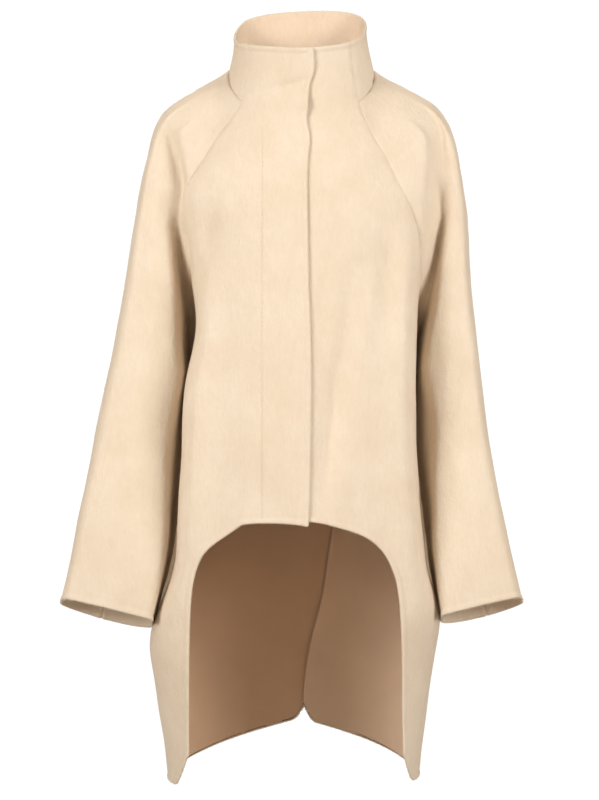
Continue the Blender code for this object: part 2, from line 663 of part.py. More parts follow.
def front_grid(side):
    """Angles and levels of a front piece from rim to hem, and its cells: none lie under the arch's crown."""
    raglan = raglan_level(side, CAP_STATIONS)
    collar = RIM_LEVEL + (raglan[0] - RIM_LEVEL) * COLLAR_ROWS[:-1]
    tail_hems = tail_hem(side, TAIL_COLUMNS)
    crown_hems = np.full(CROWN_COLUMNS, TAIL_CORNER_LEVEL)
    below = np.stack([side_levels(hem) for hem in np.concatenate([crown_hems, tail_hems])], axis=1)
    across = below.shape[1]
    above = np.repeat(np.concatenate([collar, raglan])[:, None], across, axis=1)
    levels = np.concatenate([above, below])

    neck = raglan_angle(side, np.zeros(1))[0]
    dart_top = np.radians(COLLAR_TOP_ANGLE[side])
    outer = np.concatenate([
        dart_top + (neck - dart_top) * COLLAR_ROWS[:-1],
        raglan_angle(side, CAP_STATIONS),
        side_seam_angle(below[:, -1]),
    ])
    edge_x = FRONT_EDGE_X[side] * SIGN[side]
    edge = np.sign(edge_x) * angle_at(side, abs(edge_x), levels[:, 0])
    arch_level = levels[:, CROWN_COLUMNS]
    arch = angle_at(side, ARCH_LINE(side, arch_level), arch_level)
    crown_row = len(above) + len(UPPER_ROWS) - 2
    middle_share = (arch[crown_row] - edge[crown_row]) / (outer[crown_row] - edge[crown_row])
    middle = np.where(np.arange(len(levels)) > crown_row, arch, edge + middle_share * (outer - edge))
    crown = edge[:, None] + (middle - edge)[:, None] * np.linspace(0, 1, CROWN_COLUMNS + 1)[:-1]
    tail = middle[:, None] + (outer - middle)[:, None] * TAIL_COLUMNS
    angles = SIGN[side] * np.concatenate([crown, tail], axis=1)
    levels[: len(collar)] += (rim_level(angles[0]) - RIM_LEVEL) * (1 - COLLAR_ROWS[:-1])[:, None]

    crown_shape = np.linspace(1, 0, CROWN_COLUMNS + 1)
    dip = (CROWN_EDGE_LEVEL[side] - CROWN_LEVEL) * crown_shape + CROWN_LIFT * np.sin(math.pi * crown_shape) ** 0.7
    fade = ramp(-levels[: crown_row + 1, 0], -UNDERARM_LEVEL, -CROWN_LEVEL)
    levels[: crown_row + 1, : CROWN_COLUMNS + 1] += fade[:, None] * dip

    cells = np.ones((len(levels) - 1, across - 1), bool)
    cells[crown_row:, :CROWN_COLUMNS] = False
    return angles, levels, cells


def back_grid(side, leaning=False):
    """Angles and levels of a back piece, from its raglan and side seams to the centre back or lining seam."""
    raglan = raglan_angle("behind", CAP_STATIONS)
    upper = raglan_level("behind", CAP_STATIONS)
    side_line = side_levels(TAIL_TIP_LEVEL[side])
    start = np.concatenate([raglan, side_seam_angle(side_line)])
    lean = LINING_LINE("lean", np.concatenate([upper, side_line])) if leaning else 0 * start
    end = math.pi - SIGN[side] * np.radians(lean)
    angles = start[:, None] + (end - start)[:, None] * BACK_COLUMNS
    lift = neck_level(angles[0]) - neck_level(angles[0, 0])
    above = upper[:, None] + lift * (1 - CAP_STATIONS)[:, None]
    below = np.stack([side_levels(hem) for hem in back_hem(side, angles[-1])], axis=1)
    return SIGN[side] * angles, np.concatenate([above, below])


def collar_grid(sleeves):
    """Angles and levels of the collar, from the right front round the back to the left front."""
    lines = {}
    for side, sleeve in sleeves.items():
        seam = sleeve.seam_share(np.zeros(1))[0]
        front = np.linspace(0, seam, SLEEVE_FRONT_COLUMNS + 1)
        back = np.linspace(seam, 1, SLEEVE_BACK_COLUMNS + 1)
        over_sleeve = np.abs(sleeve.neck_angle(np.concatenate([front, back[1:]])))
        behind = over_sleeve[-1] + (math.pi - over_sleeve[-1]) * BACK_COLUMNS[1:]
        lines[side] = np.concatenate([over_sleeve, behind])
    seam = np.concatenate([-lines["right"], lines["left"][-2::-1] - 2 * math.pi])
    fade = np.clip(1 - np.arange(len(seam)) / SLEEVE_FRONT_COLUMNS, 0, 1)
    right_lean = np.radians(COLLAR_TOP_ANGLE["right"]) - lines["right"][0]
    left_lean = lines["left"][0] - np.radians(COLLAR_TOP_ANGLE["left"])
    lean = right_lean * fade + left_lean * fade[::-1]
    angles = seam - (1 - COLLAR_ROWS)[:, None] * lean
    levels = rim_level(angles) + (neck_level(seam) - rim_level(angles)) * COLLAR_ROWS[:, None]
    return angles, levels


def build_front(side, material, collection):
    angles, levels, cells = front_grid(side)
    points = torso(angles, levels)
    normals = torso_normal(angles, levels)
    if side == "right":
        lap = LAP_STEP * ramp(angles, *np.radians(LAP_ANGLES))
        points = points + lap[..., None] * normals
    make_wall(f"front_{side}", points, normals, ("end",), material, collection, cells=cells)


def build_back(side, material, lining, collection):
    angles, levels = back_grid(side)
    points = torso(angles, levels)
    normals = torso_normal(angles, levels)
    seams = ("top", "start", "end")
    make_wall(f"back_{side}", points, normals, seams, material, collection)
    angles, levels = back_grid(side, leaning=True)
    normals = torso_normal(angles, levels)
    inset = pulled_in(torso(angles, levels), ("top", "bottom", "start"), LINING_INSET)
    make_wall(f"lining_{side}", inset, normals, ("end",), lining, collection, CLOTH + LINING_SPACE, LINING)


def build_collar(sleeves, material, collection):
    angles, levels = collar_grid(sleeves)
    points = torso(angles, levels)
    normals = torso_normal(angles, levels)
    make_wall("collar", points, normals, ("bottom", "start", "end"), material, collection)


def build_sleeve(sleeve, material, collection):
    stations = np.concatenate([CAP_STATIONS, TUBE_STATIONS[1:]])[:, None]
    seam = sleeve.seam_share(stations)
    halves = {
        "front": seam * np.linspace(0, 1, SLEEVE_FRONT_COLUMNS + 1),
        "back": seam + (1 - seam) * np.linspace(0, 1, SLEEVE_BACK_COLUMNS + 1),
    }
    points, normals = {}, {}
    for half, shares in halves.items():
        where = np.broadcast_to(stations, shares.shape)
        points[half] = sleeve(shares, where)
        normals[half] = -SIGN[sleeve.side] * normal_of(sleeve, shares, where)
    below = stations[:, 0] >= 1
    shared = unit(normals["front"][below, 0] + normals["back"][below, -1])
    normals["front"][below, 0] = normals["back"][below, -1] = shared
    seams = ("top", "start", "end")
    for half in halves:
        name = f"sleeve_{sleeve.side}_{half}"
        make_wall(name, points[half], normals[half], seams, material, collection)


def main():
    for old in list(bpy.data.objects):
        bpy.data.objects.remove(old)
    coat = bpy.data.collections.new("coat")
    bpy.context.scene.collection.children.link(coat)
    wool = make_material("wool", WOOL)
    lining = make_material("lining", BROWN_LINING)
    sleeves = {side: Sleeve(side) for side in SIGN}
    for side in SIGN:
        build_front(side, wool, coat)
        build_back(side, wool, lining, coat)
        build_sleeve(sleeves[side], wool, coat)
    build_collar(sleeves, wool, coat)


main()
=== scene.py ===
"""Looks of a felted wool coat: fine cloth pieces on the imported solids, soft light and a camera in front.

The coat faces -Y, the wearer's right is at -X and the origin is the centre of the neck base. The torso and
collar are one tube of rings and each sleeve is a tube of sections, as in the solids. Every piece is a thin
wall with rounded edges, sunk seams and turned hems.
"""

import json
import math

import bpy
import numpy as np
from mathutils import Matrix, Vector
from mathutils.kdtree import KDTree

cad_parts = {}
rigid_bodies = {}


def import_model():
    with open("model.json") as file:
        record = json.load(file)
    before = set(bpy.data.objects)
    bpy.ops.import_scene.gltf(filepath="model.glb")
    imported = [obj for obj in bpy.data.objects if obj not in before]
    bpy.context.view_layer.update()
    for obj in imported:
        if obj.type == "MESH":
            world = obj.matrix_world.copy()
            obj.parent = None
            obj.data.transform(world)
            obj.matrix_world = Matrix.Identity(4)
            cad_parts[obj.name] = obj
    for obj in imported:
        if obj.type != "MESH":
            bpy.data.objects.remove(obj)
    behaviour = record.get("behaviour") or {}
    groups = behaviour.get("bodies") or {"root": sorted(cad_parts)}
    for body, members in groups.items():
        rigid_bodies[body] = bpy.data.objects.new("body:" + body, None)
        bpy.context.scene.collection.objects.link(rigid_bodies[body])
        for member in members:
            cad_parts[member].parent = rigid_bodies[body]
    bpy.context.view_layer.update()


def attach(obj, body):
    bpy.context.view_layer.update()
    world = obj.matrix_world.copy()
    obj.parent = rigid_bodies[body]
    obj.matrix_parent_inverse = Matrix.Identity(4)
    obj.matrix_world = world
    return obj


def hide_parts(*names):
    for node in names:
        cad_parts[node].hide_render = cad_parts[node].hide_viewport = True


# Camera: the photograph's frame is 599 by 800
CAMERA_PLACE = (0.0, -3.6, -0.457)
CAMERA_LENS = 111.73
CAMERA_SENSOR = 36.0

# Studio: a warm grey surround, white in a narrow cone behind the coat, a pale floor, and soft lamps by name,
# place, target, size and power
SURROUND = (0.30, 0.265, 0.225)
WALL = 1.05
WALL_CONE = (0.962, 0.981)
FLOOR_RADIUS, FLOOR_LEVEL = 2.3, -1.45
LAMP_SPREAD = 48.0
LAMPS = (
    ("key", (-2.5, -2.25, 0.6), (0.0, 0.0, -0.31), (1.4, 1.8), 9.7),
    ("fill", (2.5, -2.25, 0.5), (0.0, 0.0, -0.31), (1.4, 1.8), 8.9),
    ("top", (0.0, 0.2, 2.2), (0.0, 0.0, 0.0), (1.6, 1.2), 0.5),
    ("back", (0.0, 3.0, 1.5), (0.0, 0.1, -0.4), (1.6, 1.6), 6.0),
)

# Darker shades mixed into the wool's patches and fibres and between the lining's twill lines
PATCH_SHADE = (0.60, 0.42, 0.27)
FIBRE_SHADE = (0.55, 0.40, 0.26)
TWILL_SHADE = (0.1, 0.05, 0.03)

# Cloth
CLOTH = 0.003
LINING = 0.001
LINING_SPACE = 0.0018
LINING_INSET = 0.003
PLEAT_LIFT = 0.005
PLEAT_WIDTH = 0.011
LAP_STEP = 0.0032
LAP_ANGLES = (-43.0, -17.0)

# Torso and collar: half widths to each side, depths to front and back, how square the oval is, and how much a
# ring rises towards the back. A ring's level is its height where it crosses the coat's mid depth.
RING_COLUMNS = ("level", "right", "left", "front", "back", "square", "rise")
RINGS = (
    (0.080, 0.0945, 0.0965, 0.0850, 0.0750, 0.055, 0.478),
    (0.045, 0.0960, 0.1020, 0.0865, 0.0755, 0.050, 0.470),
    (0.016, 0.1020, 0.1080, 0.0900, 0.0780, 0.045, 0.440),
    (-0.010, 0.1090, 0.1130, 0.0950, 0.0830, 0.045, 0.370),
    (-0.055, 0.1330, 0.1330, 0.1070, 0.0970, 0.045, 0.210),
    (-0.105, 0.1580, 0.1600, 0.1190, 0.1130, 0.045, 0.080),
    (-0.160, 0.1790, 0.1820, 0.1300, 0.1265, 0.045, 0.010),
    (-0.230, 0.1650, 0.1840, 0.1365, 0.1335, 0.045, 0.000),
    (-0.310, 0.1525, 0.1730, 0.1390, 0.1365, 0.045, 0.000),
    (-0.360, 0.1508, 0.1717, 0.1400, 0.1375, 0.045, 0.000),
    (-0.415, 0.1630, 0.1707, 0.1415, 0.1390, 0.045, 0.000),
    (-0.520, 0.1730, 0.1720, 0.1460, 0.1460, 0.045, 0.000),
    (-0.630, 0.1782, 0.1808, 0.1510, 0.1570, 0.045, 0.000),
    (-0.700, 0.1850, 0.1890, 0.1520, 0.1650, 0.045, 0.000),
    (-0.760, 0.2090, 0.2045, 0.1515, 0.1730, 0.045, 0.000),
    (-0.805, 0.2175, 0.2000, 0.1500, 0.1785, 0.045, 0.000),
    (-0.860, 0.2105, 0.1900, 0.1470, 0.1825, 0.045, 0.000),
    (-0.930, 0.1995, 0.1790, 0.1420, 0.1855, 0.045, 0.000),
    (-1.020, 0.1895, 0.1700, 0.1380, 0.1870, 0.045, 0.000),
)

# Side folds by level: the front's corner stands forward, the torso is pressed in beside the sleeve, and
# behind it the back swells out to each side
SIDE_COLUMNS = ("level", "corner", "dent", "right", "left")
SIDE_FOLDS = (
    (0.080, 0.000, 0.000, 0.000, 0.000),
    (-0.060, 0.000, 0.000, 0.000, 0.000),
    (-0.130, 0.002, 0.000, 0.000, 0.000),
    (-0.200, 0.010, 0.000, 0.000, 0.000),
    (-0.270, 0.023, 0.002, 0.000, 0.000),
    (-0.340, 0.030, 0.008, 0.004, 0.004),
    (-0.415, 0.030, 0.013, 0.018, 0.016),
    (-0.470, 0.030, 0.016, 0.028, 0.031),
    (-0.560, 0.030, 0.020, 0.030, 0.036),
    (-0.625, 0.030, 0.022, 0.040, 0.039),
    (-0.690, 0.029, 0.022, 0.048, 0.041),
    (-0.720, 0.025, 0.019, 0.046, 0.038),
    (-0.750, 0.018, 0.014, 0.040, 0.031),
    (-0.780, 0.010, 0.006, 0.032, 0.023),
    (-0.810, 0.005, 0.002, 0.020, 0.015),
    (-0.860, 0.000, 0.000, 0.008, 0.006),
    (-0.930, 0.000, 0.000, 0.000, 0.000),
    (-1.020, 0.000, 0.000, 0.000, 0.000),
)
CORNER_ANGLE, CORNER_SPREAD = 62.0, 18.0
DENT_ANGLE, DENT_SPREAD = 97.0, 13.0
SWELL_ANGLE, SWELL_SPREAD = 128.0, 18.0

# Soft folds of the torso: each runs from a start to an end, given by angle from the centre front in degrees
# and level, with its width and its depth into the cloth
FOLD_COLUMNS = ("start_angle", "start_level", "end_angle", "end_level", "width", "depth")
FOLDS = (
    (5.0, 0.036, -33.0, 0.010, 0.006, 0.0040),
    (10.0, -0.120, 9.0, -0.620, 0.012, 0.0030),
    (-40.0, -0.190, -62.0, -0.300, 0.018, 0.0070),
    (23.0, -0.270, 9.0, -0.600, 0.016, 0.0065),
    (15.0, -0.400, 12.0, -0.580, 0.008, 0.0030),
    (36.0, -0.210, 42.0, -0.360, 0.020, 0.0060),
    (-30.0, -0.430, -33.0, -0.620, 0.030, 0.0030),
    (163.0, -0.560, 177.0, -0.930, 0.018, 0.0060),
    (-150.0, -0.450, -140.0, -0.960, 0.040, 0.0060),
    (138.0, -0.480, 130.0, -0.960, 0.040, 0.0060),
)

# Collar: the neck seam and the rim by angle from the centre front, and the short seams that part it from the
# fronts
NECK_SEAM_COLUMNS = ("angle", "level")
NECK_SEAM = ((40.0, -0.006), (46.0, -0.0025), (90.0, 0.016), (132.0, 0.010), (180.0, 0.005))
RIM_COLUMNS = ("angle", "right", "left")
RIM = (
    (0.0, 0.080, 0.080),
    (45.0, 0.079, 0.084),
    (90.0, 0.068, 0.083),
    (130.0, 0.073, 0.083),
    (180.0, 0.080, 0.080),
)
COLLAR_TOP_ANGLE = {"right": 43.5, "left": 42.0}

# Raglan seams by station, from the neck seam at 0 to the underarm at 1: angles from the centre front
RAGLAN_COLUMNS = ("station", "right", "left", "behind")
RAGLAN = (
    (0.00, 46.0, 44.0, 132.0),
    (0.13, 49.5, 42.5, 130.0),
    (0.25, 52.0, 43.5, 127.0),
    (0.38, 59.0, 47.5, 122.0),
    (0.50, 66.5, 58.0, 118.0),
    (0.63, 76.5, 70.0, 113.0),
    (0.80, 90.0, 87.0, 107.0),
    (1.00, 101.0, 101.0, 101.0),
)
UNDERARM_LEVEL = -0.415

# Sleeves by station, on from the underarm at 1 to the cuff at 2: each outer line's distance to the side and
# its height, the depth of the tube's middle, and how far the front and back halves reach out
SLEEVE_COLUMNS = (
    "station", "right_out", "right_height", "left_out", "left_height", "middle", "front_reach", "back_reach",
)
SLEEVES = (
    (0.00, 0.1030, 0.0160, 0.1080, 0.0165, 0.000, 0.034, 0.034),
    (0.13, 0.1660, -0.0162, 0.1700, -0.0130, 0.000, 0.045, 0.046),
    (0.25, 0.2023, -0.0467, 0.2070, -0.0394, 0.000, 0.056, 0.053),
    (0.38, 0.2185, -0.0902, 0.2285, -0.0887, 0.000, 0.076, 0.057),
    (0.50, 0.2300, -0.1380, 0.2370, -0.1380, 0.000, 0.085, 0.062),
    (0.63, 0.2400, -0.1960, 0.2443, -0.1960, 0.000, 0.088, 0.069),
    (0.80, 0.2500, -0.2640, 0.2487, -0.2656, 0.000, 0.090, 0.084),
    (1.00, 0.2710, -0.3870, 0.2588, -0.3870, 0.000, 0.090, 0.094),
    (1.25, 0.2885, -0.4715, 0.2690, -0.4715, -0.002, 0.090, 0.092),
    (1.50, 0.3050, -0.5585, 0.2812, -0.5585, -0.010, 0.090, 0.090),
    (1.75, 0.3230, -0.6500, 0.2985, -0.6500, -0.025, 0.087, 0.087),
    (2.00, 0.3415, -0.7473, 0.3186, -0.7460, -0.0435, 0.082, 0.082),
)
UNDERARM_COLUMNS = ("station", "in", "height", "depth")
UNDERARMS = {
    "right": (
        (1.25, 0.1665, -0.5050, 0.022),
        (1.50, 0.1725, -0.5950, 0.012),
        (1.75, 0.1860, -0.6850, -0.005),
        (2.00, 0.2095, -0.7795, -0.036),
    ),
    "left": (
        (1.25, 0.1665, -0.5000, 0.022),
        (1.50, 0.1750, -0.5900, 0.012),
        (1.75, 0.1855, -0.6800, -0.005),
        (2.00, 0.2030, -0.7730, -0.036),
    ),
}
FLAT_STATIONS = (0.08, 0.36)
CORNER_SHARE = 0.75
LEAVING_CUT = 0.35
CREST_SHARE = 0.38
CREST_DEPTH = 0.056
EDGE_TURN = 0.026
BACK_LEAN = 0.7
CUFF_SLOPE = 0.26

# The arm's inner front corner by station: how far out from the valley it is, its share of the full
# depth, and how far in from the outer line the depth is full
ARM_COLUMNS = ("station", "turn", "share", "inset")
ARMS = {
    "right": (
        (0.00, 0.018, 0.90, 0.009),
        (0.40, 0.015, 1.00, 0.007),
        (0.60, 0.013, 1.00, 0.008),
        (0.90, 0.012, 0.97, 0.008),
        (1.20, 0.015, 0.88, 0.007),
        (1.50, 0.015, 0.94, 0.007),
        (1.65, 0.010, 0.94, 0.007),
        (1.80, 0.003, 0.95, 0.007),
        (2.00, -0.001, 0.95, 0.007),
    ),
    "left": (
        (0.00, 0.018, 0.90, 0.009),
        (0.40, 0.015, 1.00, 0.007),
        (0.60, 0.010, 1.00, 0.008),
        (0.75, 0.010, 0.95, 0.009),
        (0.95, 0.015, 0.88, 0.008),
        (1.20, 0.025, 0.84, 0.007),
        (1.45, 0.016, 0.92, 0.007),
        (1.60, 0.011, 0.93, 0.007),
        (1.75, 0.005, 0.94, 0.007),
        (2.00, -0.003, 0.95, 0.007),
    ),
}

# Armpit folds by height: out past the raglan seam the cloth keeps forward to an edge, then falls back into a
# valley of this depth
ARMPIT_COLUMNS = ("height", "edge", "valley", "depth")
ARMPITS = {
    "right": (
        (-0.030, 0.1770, 0.1850, -0.056),
        (-0.065, 0.1740, 0.1800, -0.058),
        (-0.093, 0.1680, 0.1740, -0.058),
        (-0.115, 0.1640, 0.1700, -0.054),
        (-0.136, 0.1600, 0.1670, -0.055),
        (-0.158, 0.1550, 0.1660, -0.057),
        (-0.179, 0.1510, 0.1680, -0.060),
        (-0.200, 0.1470, 0.1710, -0.057),
        (-0.229, 0.1460, 0.1735, -0.040),
        (-0.257, 0.1490, 0.1725, -0.026),
        (-0.286, 0.1520, 0.1690, -0.010),
        (-0.314, 0.1497, 0.1645, 0.002),
        (-0.343, 0.1476, 0.1615, 0.018),
        (-0.372, 0.1469, 0.1605, 0.026),
        (-0.415, 0.1480, 0.1550, 0.028),
        (-0.800, 0.1480, 0.1550, 0.028),
    ),
    "left": (
        (-0.030, 0.1850, 0.1930, -0.060),
        (-0.075, 0.1804, 0.1870, -0.066),
        (-0.101, 0.1790, 0.1880, -0.070),
        (-0.136, 0.1782, 0.1930, -0.068),
        (-0.165, 0.1775, 0.1985, -0.056),
        (-0.193, 0.1775, 0.2030, -0.052),
        (-0.222, 0.1785, 0.2010, -0.042),
        (-0.250, 0.1775, 0.1968, -0.037),
        (-0.279, 0.1730, 0.1925, -0.032),
        (-0.314, 0.1682, 0.1860, -0.026),
        (-0.343, 0.1675, 0.1790, -0.006),
        (-0.374, 0.1640, 0.1690, 0.026),
        (-0.415, 0.1540, 0.1600, 0.028),
        (-0.800, 0.1540, 0.1600, 0.028),
    ),
}

# How steeply the cloth falls back up to the edge, the least gaps from seam to valley and from edge to valley,
# and how far the middle of the arm's flat front stands out
EDGE_FALL = 0.35
VALLEY_GAP, EDGE_GAP = 0.002, 0.004
ARM_BULGE = 0.005

# How far out across a section the valley and the arm's corner may lie, and the stations between which the
# corner turns crisp and the cuff's slope sets in
VALLEY_LIMIT, ARM_LIMIT = 0.65, 0.88
CRISP_STATIONS = (1.2, 1.6)
CUFF_STATIONS = (1.2, 2.0)

# The overarm seam's share of a section at both ends, the stations between which sections come to leave the
# seam as a valley, and how far down the sleeve is fitted to the neck seam
SLEEVE_SEAM_AT_NECK = 0.50
SLEEVE_SEAM_AT_CUFF = 0.75
VALLEY_STATIONS = (0.30, 0.70)
NECK_MATCH_STATION = 0.30

# Front edges by level: how far each lies to the left of the centre. The right front laps over the left.
FRONT_EDGE_COLUMNS = ("level", "right", "left")
FRONT_EDGES = (
    (0.080, 0.0172, -0.045),
    (0.045, 0.0168, -0.045),
    (0.024, 0.0115, -0.045),
    (-0.010, 0.0098, -0.045),
    (-0.040, 0.0088, -0.045),
    (-0.062, 0.0122, -0.045),
    (-0.100, 0.0110, -0.045),
    (-0.180, 0.0090, -0.045),
    (-0.320, 0.0104, -0.045),
    (-0.430, 0.0138, -0.045),
    (-0.530, 0.0132, -0.045),
    (-0.630, 0.0105, -0.045),
)

# The right front's edge stands off a little where the collar meets the chest
STAND_OFF = 0.004
STAND_OFF_LEVEL, STAND_OFF_SPREAD = -0.004, 0.016
STAND_OFF_ANGLES = (-22.0, 4.0)

# Hems: the arch's crown, its half widths as seen from straight in front, the tails and the back
CROWN_LEVEL = -0.630
CROWN_EDGE_LEVEL = {"right": -0.6315, "left": -0.6250}
CROWN_LIFT = 0.004
ARCH_COLUMNS = ("level", "right", "left")
ARCH = (
    (-0.630, 0.0820, 0.0430),
    (-0.640, 0.0960, 0.0770),
    (-0.655, 0.1180, 0.1050),
    (-0.672, 0.1355, 0.1205),
    (-0.690, 0.1445, 0.1300),
    (-0.715, 0.1510, 0.1380),
    (-0.750, 0.1545, 0.1425),
    (-0.800, 0.1560, 0.1455),
    (-0.880, 0.1568, 0.1467),
    (-0.960, 0.1590, 0.1490),
)
TAIL_CORNER_LEVEL = -0.957
TAIL_TIP_LEVEL = {"right": -1.002, "left": -0.997}
TAIL_CORNER_SHARE = 0.35
BACK_HEM_LEVEL = -0.940
VENT_HEIGHT = 0.024
VENT_WIDTH_ANGLE = 5.0
VENT_LEAN = 2.0

# The lining's seam leans from the centre back towards the left, by level and in degrees
LINING_SEAM_COLUMNS = ("level", "lean")
LINING_SEAM = (
    (0.080, 0.0),
    (-0.200, 13.0),
    (-0.450, 19.0),
    (-0.650, 13.6),
    (-0.780, 7.4),
    (-0.910, 2.3),
    (-1.020, 1.6),
)
UNDERARM_ANGLE = 101.0
SIDE_SEAM_ANGLES = (101.0, 97.0)

# Fuzz along the free edges, by kind of piece: length of the fibres, space between them, their radius, and the
# share of the length that those further back than a depth have
FUZZ_COLUMNS = ("length", "space", "radius", "behind")
FUZZ = {
    "sleeve": (0.0054, 0.0011, 0.00075, 0.3),
    "front": (0.0032, 0.0008, 0.00042, 1.0),
    "back": (0.0030, 0.0008, 0.00042, 1.0),
    "collar": (0.0028, 0.0008, 0.00040, 1.0),
}
FUZZ_BEHIND_DEPTH = -0.070

# Fly stitches on the right front, along a line this far from the centre
FLY_X = 0.0517
FLY_LEVELS = (-0.050, -0.622)
FLY_PITCH = 0.0062
STITCH_LENGTH = 0.0042
STITCH_RADIUS = 0.00027

# Grid: distance between lines, the closer lines along each edge, and the lining's rows and columns
STEP = 0.0042
EDGE_LINES = (0.0, 0.0008, 0.0017, 0.0028, 0.0042, 0.0062, 0.009)
RIM_SEGMENTS = 5
NUDGE = 2e-4
FAR = 0.04
SEAM_REACH = 0.0045
SEAM_SIDE, SEAM_SPREAD = 0.015, 0.006
LINING_STEPS = (0.008, 0.005)

# Rough lengths of the stretches that the grid's lines divide
STRETCH = {
    "collar": 0.085,
    "collar_round": 0.47,
    "cap": 0.42,
    "upper": 0.215,
    "lower": 0.36,
    "crown": 0.095,
    "tail": 0.20,
    "back": 0.28,
    "arm": 0.37,
    "sleeve_front": 0.22,
    "sleeve_back": 0.16,
}
RIM_LEVEL = 0.080
SIGN = {"right": -1.0, "left": 1.0}


def unit(vectors):
    return vectors / np.maximum(np.linalg.norm(vectors, axis=-1, keepdims=True), 1e-12)


def ramp(value, low, high):
    """0 below low, 1 above high, and a smooth rise between them."""
    share = np.clip((value - low) / (high - low), 0, 1)
    return share * share * (3 - 2 * share)


def bell(offset, width, power=2):
    """1 at no offset, fading to nothing a few widths away."""
    return np.exp(-((offset / width) ** power))


def spline(knots, values, at):
    """A natural cubic spline through the values at the knots, level beyond its two ends."""
    count = len(knots)
    steps = np.diff(knots)
    slopes = np.diff(values) / steps
    system = np.eye(count)
    bends = np.zeros(count)
    for i in range(1, count - 1):
        system[i, i - 1 : i + 2] = steps[i - 1], 2 * (steps[i - 1] + steps[i]), steps[i]
        bends[i] = 6 * (slopes[i] - slopes[i - 1])
    curve = np.linalg.solve(system, bends)
    at = np.clip(at, knots[0], knots[-1])
    i = np.clip(np.searchsorted(knots, at, side="right") - 1, 0, count - 2)
    past = (at - knots[i]) / steps[i]
    left = 1 - past
    straight = left * values[i] + past * values[i + 1]
    return straight + steps[i] ** 2 / 6 * ((left**3 - left) * curve[i] + (past**3 - past) * curve[i + 1])


class Curves:
    """A table's columns as smooth curves of its first column."""

    def __init__(self, names, rows):
        knots = np.array(sorted(rows), float)
        self.at = np.linspace(knots[0, 0], knots[-1, 0], 4000)
        self.columns = {name: spline(knots[:, 0], knots[:, i], self.at) for i, name in enumerate(names)}

    def __call__(self, name, at):
        return np.interp(at, self.at, self.columns[name])


RING = Curves(RING_COLUMNS, RINGS)
NECK = Curves(NECK_SEAM_COLUMNS, NECK_SEAM)
RIM_LINE = Curves(RIM_COLUMNS, RIM)
RAGLAN_LINE = Curves(RAGLAN_COLUMNS, RAGLAN)
ARCH_LINE = Curves(ARCH_COLUMNS, ARCH)
SIDE = Curves(SIDE_COLUMNS, SIDE_FOLDS)
EDGE = Curves(FRONT_EDGE_COLUMNS, FRONT_EDGES)
LINING_LINE = Curves(LINING_SEAM_COLUMNS, LINING_SEAM)


def oval(angle, square):
    """Sideways and frontward shares of a squared oval at an angle from its front."""
    across = (np.sin(angle) + square * np.sin(3 * angle)) / (1 - square)
    along = (np.cos(angle) - square * np.cos(3 * angle)) / (1 - square)
    return across, along


def by_side(curves, angle, at):
    """A table's right or left column, whichever side the angle lies on."""
    return np.where(np.sin(angle) < 0, curves("right", at), curves("left", at))


def plain_torso(angle, level):
    """A point on the torso tube before its folds. The angle is from the centre front, + to the left."""
    across, along = oval(angle, RING("square", level))
    half_width = by_side(RING, angle, level)
    depth = np.where(np.cos(angle) > 0, RING("front", level), RING("back", level))
    degrees = from_front(angle)
    y = -depth * along - SIDE("corner", level) * bell(degrees - CORNER_ANGLE, CORNER_SPREAD)
    dent = SIDE("dent", level) * bell(degrees - DENT_ANGLE, DENT_SPREAD)
    swell = by_side(SIDE, angle, level) * bell(degrees - SWELL_ANGLE, SWELL_SPREAD)
    x = half_width * across + np.sign(np.sin(angle)) * (swell - dent)
    return np.stack([x, y, level + RING("rise", level) * y], axis=-1)


def fold_depth(points):
    """How deep the folds sink the cloth at these points."""
    sunk = np.zeros(points.shape[:-1])
    for row in FOLDS:
        fold = dict(zip(FOLD_COLUMNS, row))
        ends = plain_torso(
            np.radians([fold["start_angle"], fold["end_angle"]]),
            np.array([fold["start_level"], fold["end_level"]]),
        )
        run = ends[1] - ends[0]
        along = np.clip((points - ends[0]) @ run / (run @ run), 0, 1)
        beside = np.linalg.norm(points - ends[0] - along[..., None] * run, axis=-1)
        swell = np.sin(math.pi * (0.12 + 0.76 * along))
        sunk += fold["depth"] * swell * bell(beside, fold["width"])
    return sunk


def normal_of(surface, first, second):
    """The unit normal of a surface of two parameters, measured across a small step each way."""
    along = surface(first + NUDGE, second) - surface(first - NUDGE, second)
    across = surface(first, second + NUDGE) - surface(first, second - NUDGE)
    return unit(np.cross(along, across))


def torso(angle, level):
    """A point on the outside of the torso tube, folds included."""
    points = plain_torso(angle, level)
    return points - fold_depth(points)[..., None] * normal_of(plain_torso, angle, level)


def torso_normal(angle, level):
    return normal_of(torso, angle, level)


def angle_at(side, half_width, level):
    """The angle, in radians and unsigned, where the front of a ring is this far to the side."""
    low = np.zeros(np.shape(level))
    high = np.full(np.shape(level), math.pi / 2)
    for _ in range(40):
        middle = (low + high) / 2
        across, _along = oval(middle, RING("square", level))
        short = across * RING(side, level) < half_width
        low = np.where(short, middle, low)
        high = np.where(short, high, middle)
    return (low + high) / 2


def from_front(angle):
    """The angle from the centre front in degrees, 0 to 180 whichever way round."""
    return np.degrees(np.arccos(np.clip(np.cos(angle), -1, 1)))


def neck_level(angle):
    return NECK("level", from_front(angle))


def rim_level(angle):
    return by_side(RIM_LINE, angle, from_front(angle))


def raglan_angle(column, station):
    return np.radians(RAGLAN_LINE(column, np.minimum(station, 1)))


def raglan_level(column, station):
    """The level of a raglan seam, which drops evenly from the neck seam to the underarm."""
    start = neck_level(raglan_angle(column, np.zeros(1)))[0]
    return start + (UNDERARM_LEVEL - start) * np.minimum(station, 1)


def side_seam_angle(level):
    """The side seam drifts a little to the back below the underarm."""
    share = (UNDERARM_LEVEL - level) / (UNDERARM_LEVEL - TAIL_TIP_LEVEL["right"])
    start, end = np.radians(SIDE_SEAM_ANGLES)
    return start + (end - start) * np.clip(share, 0, 1)


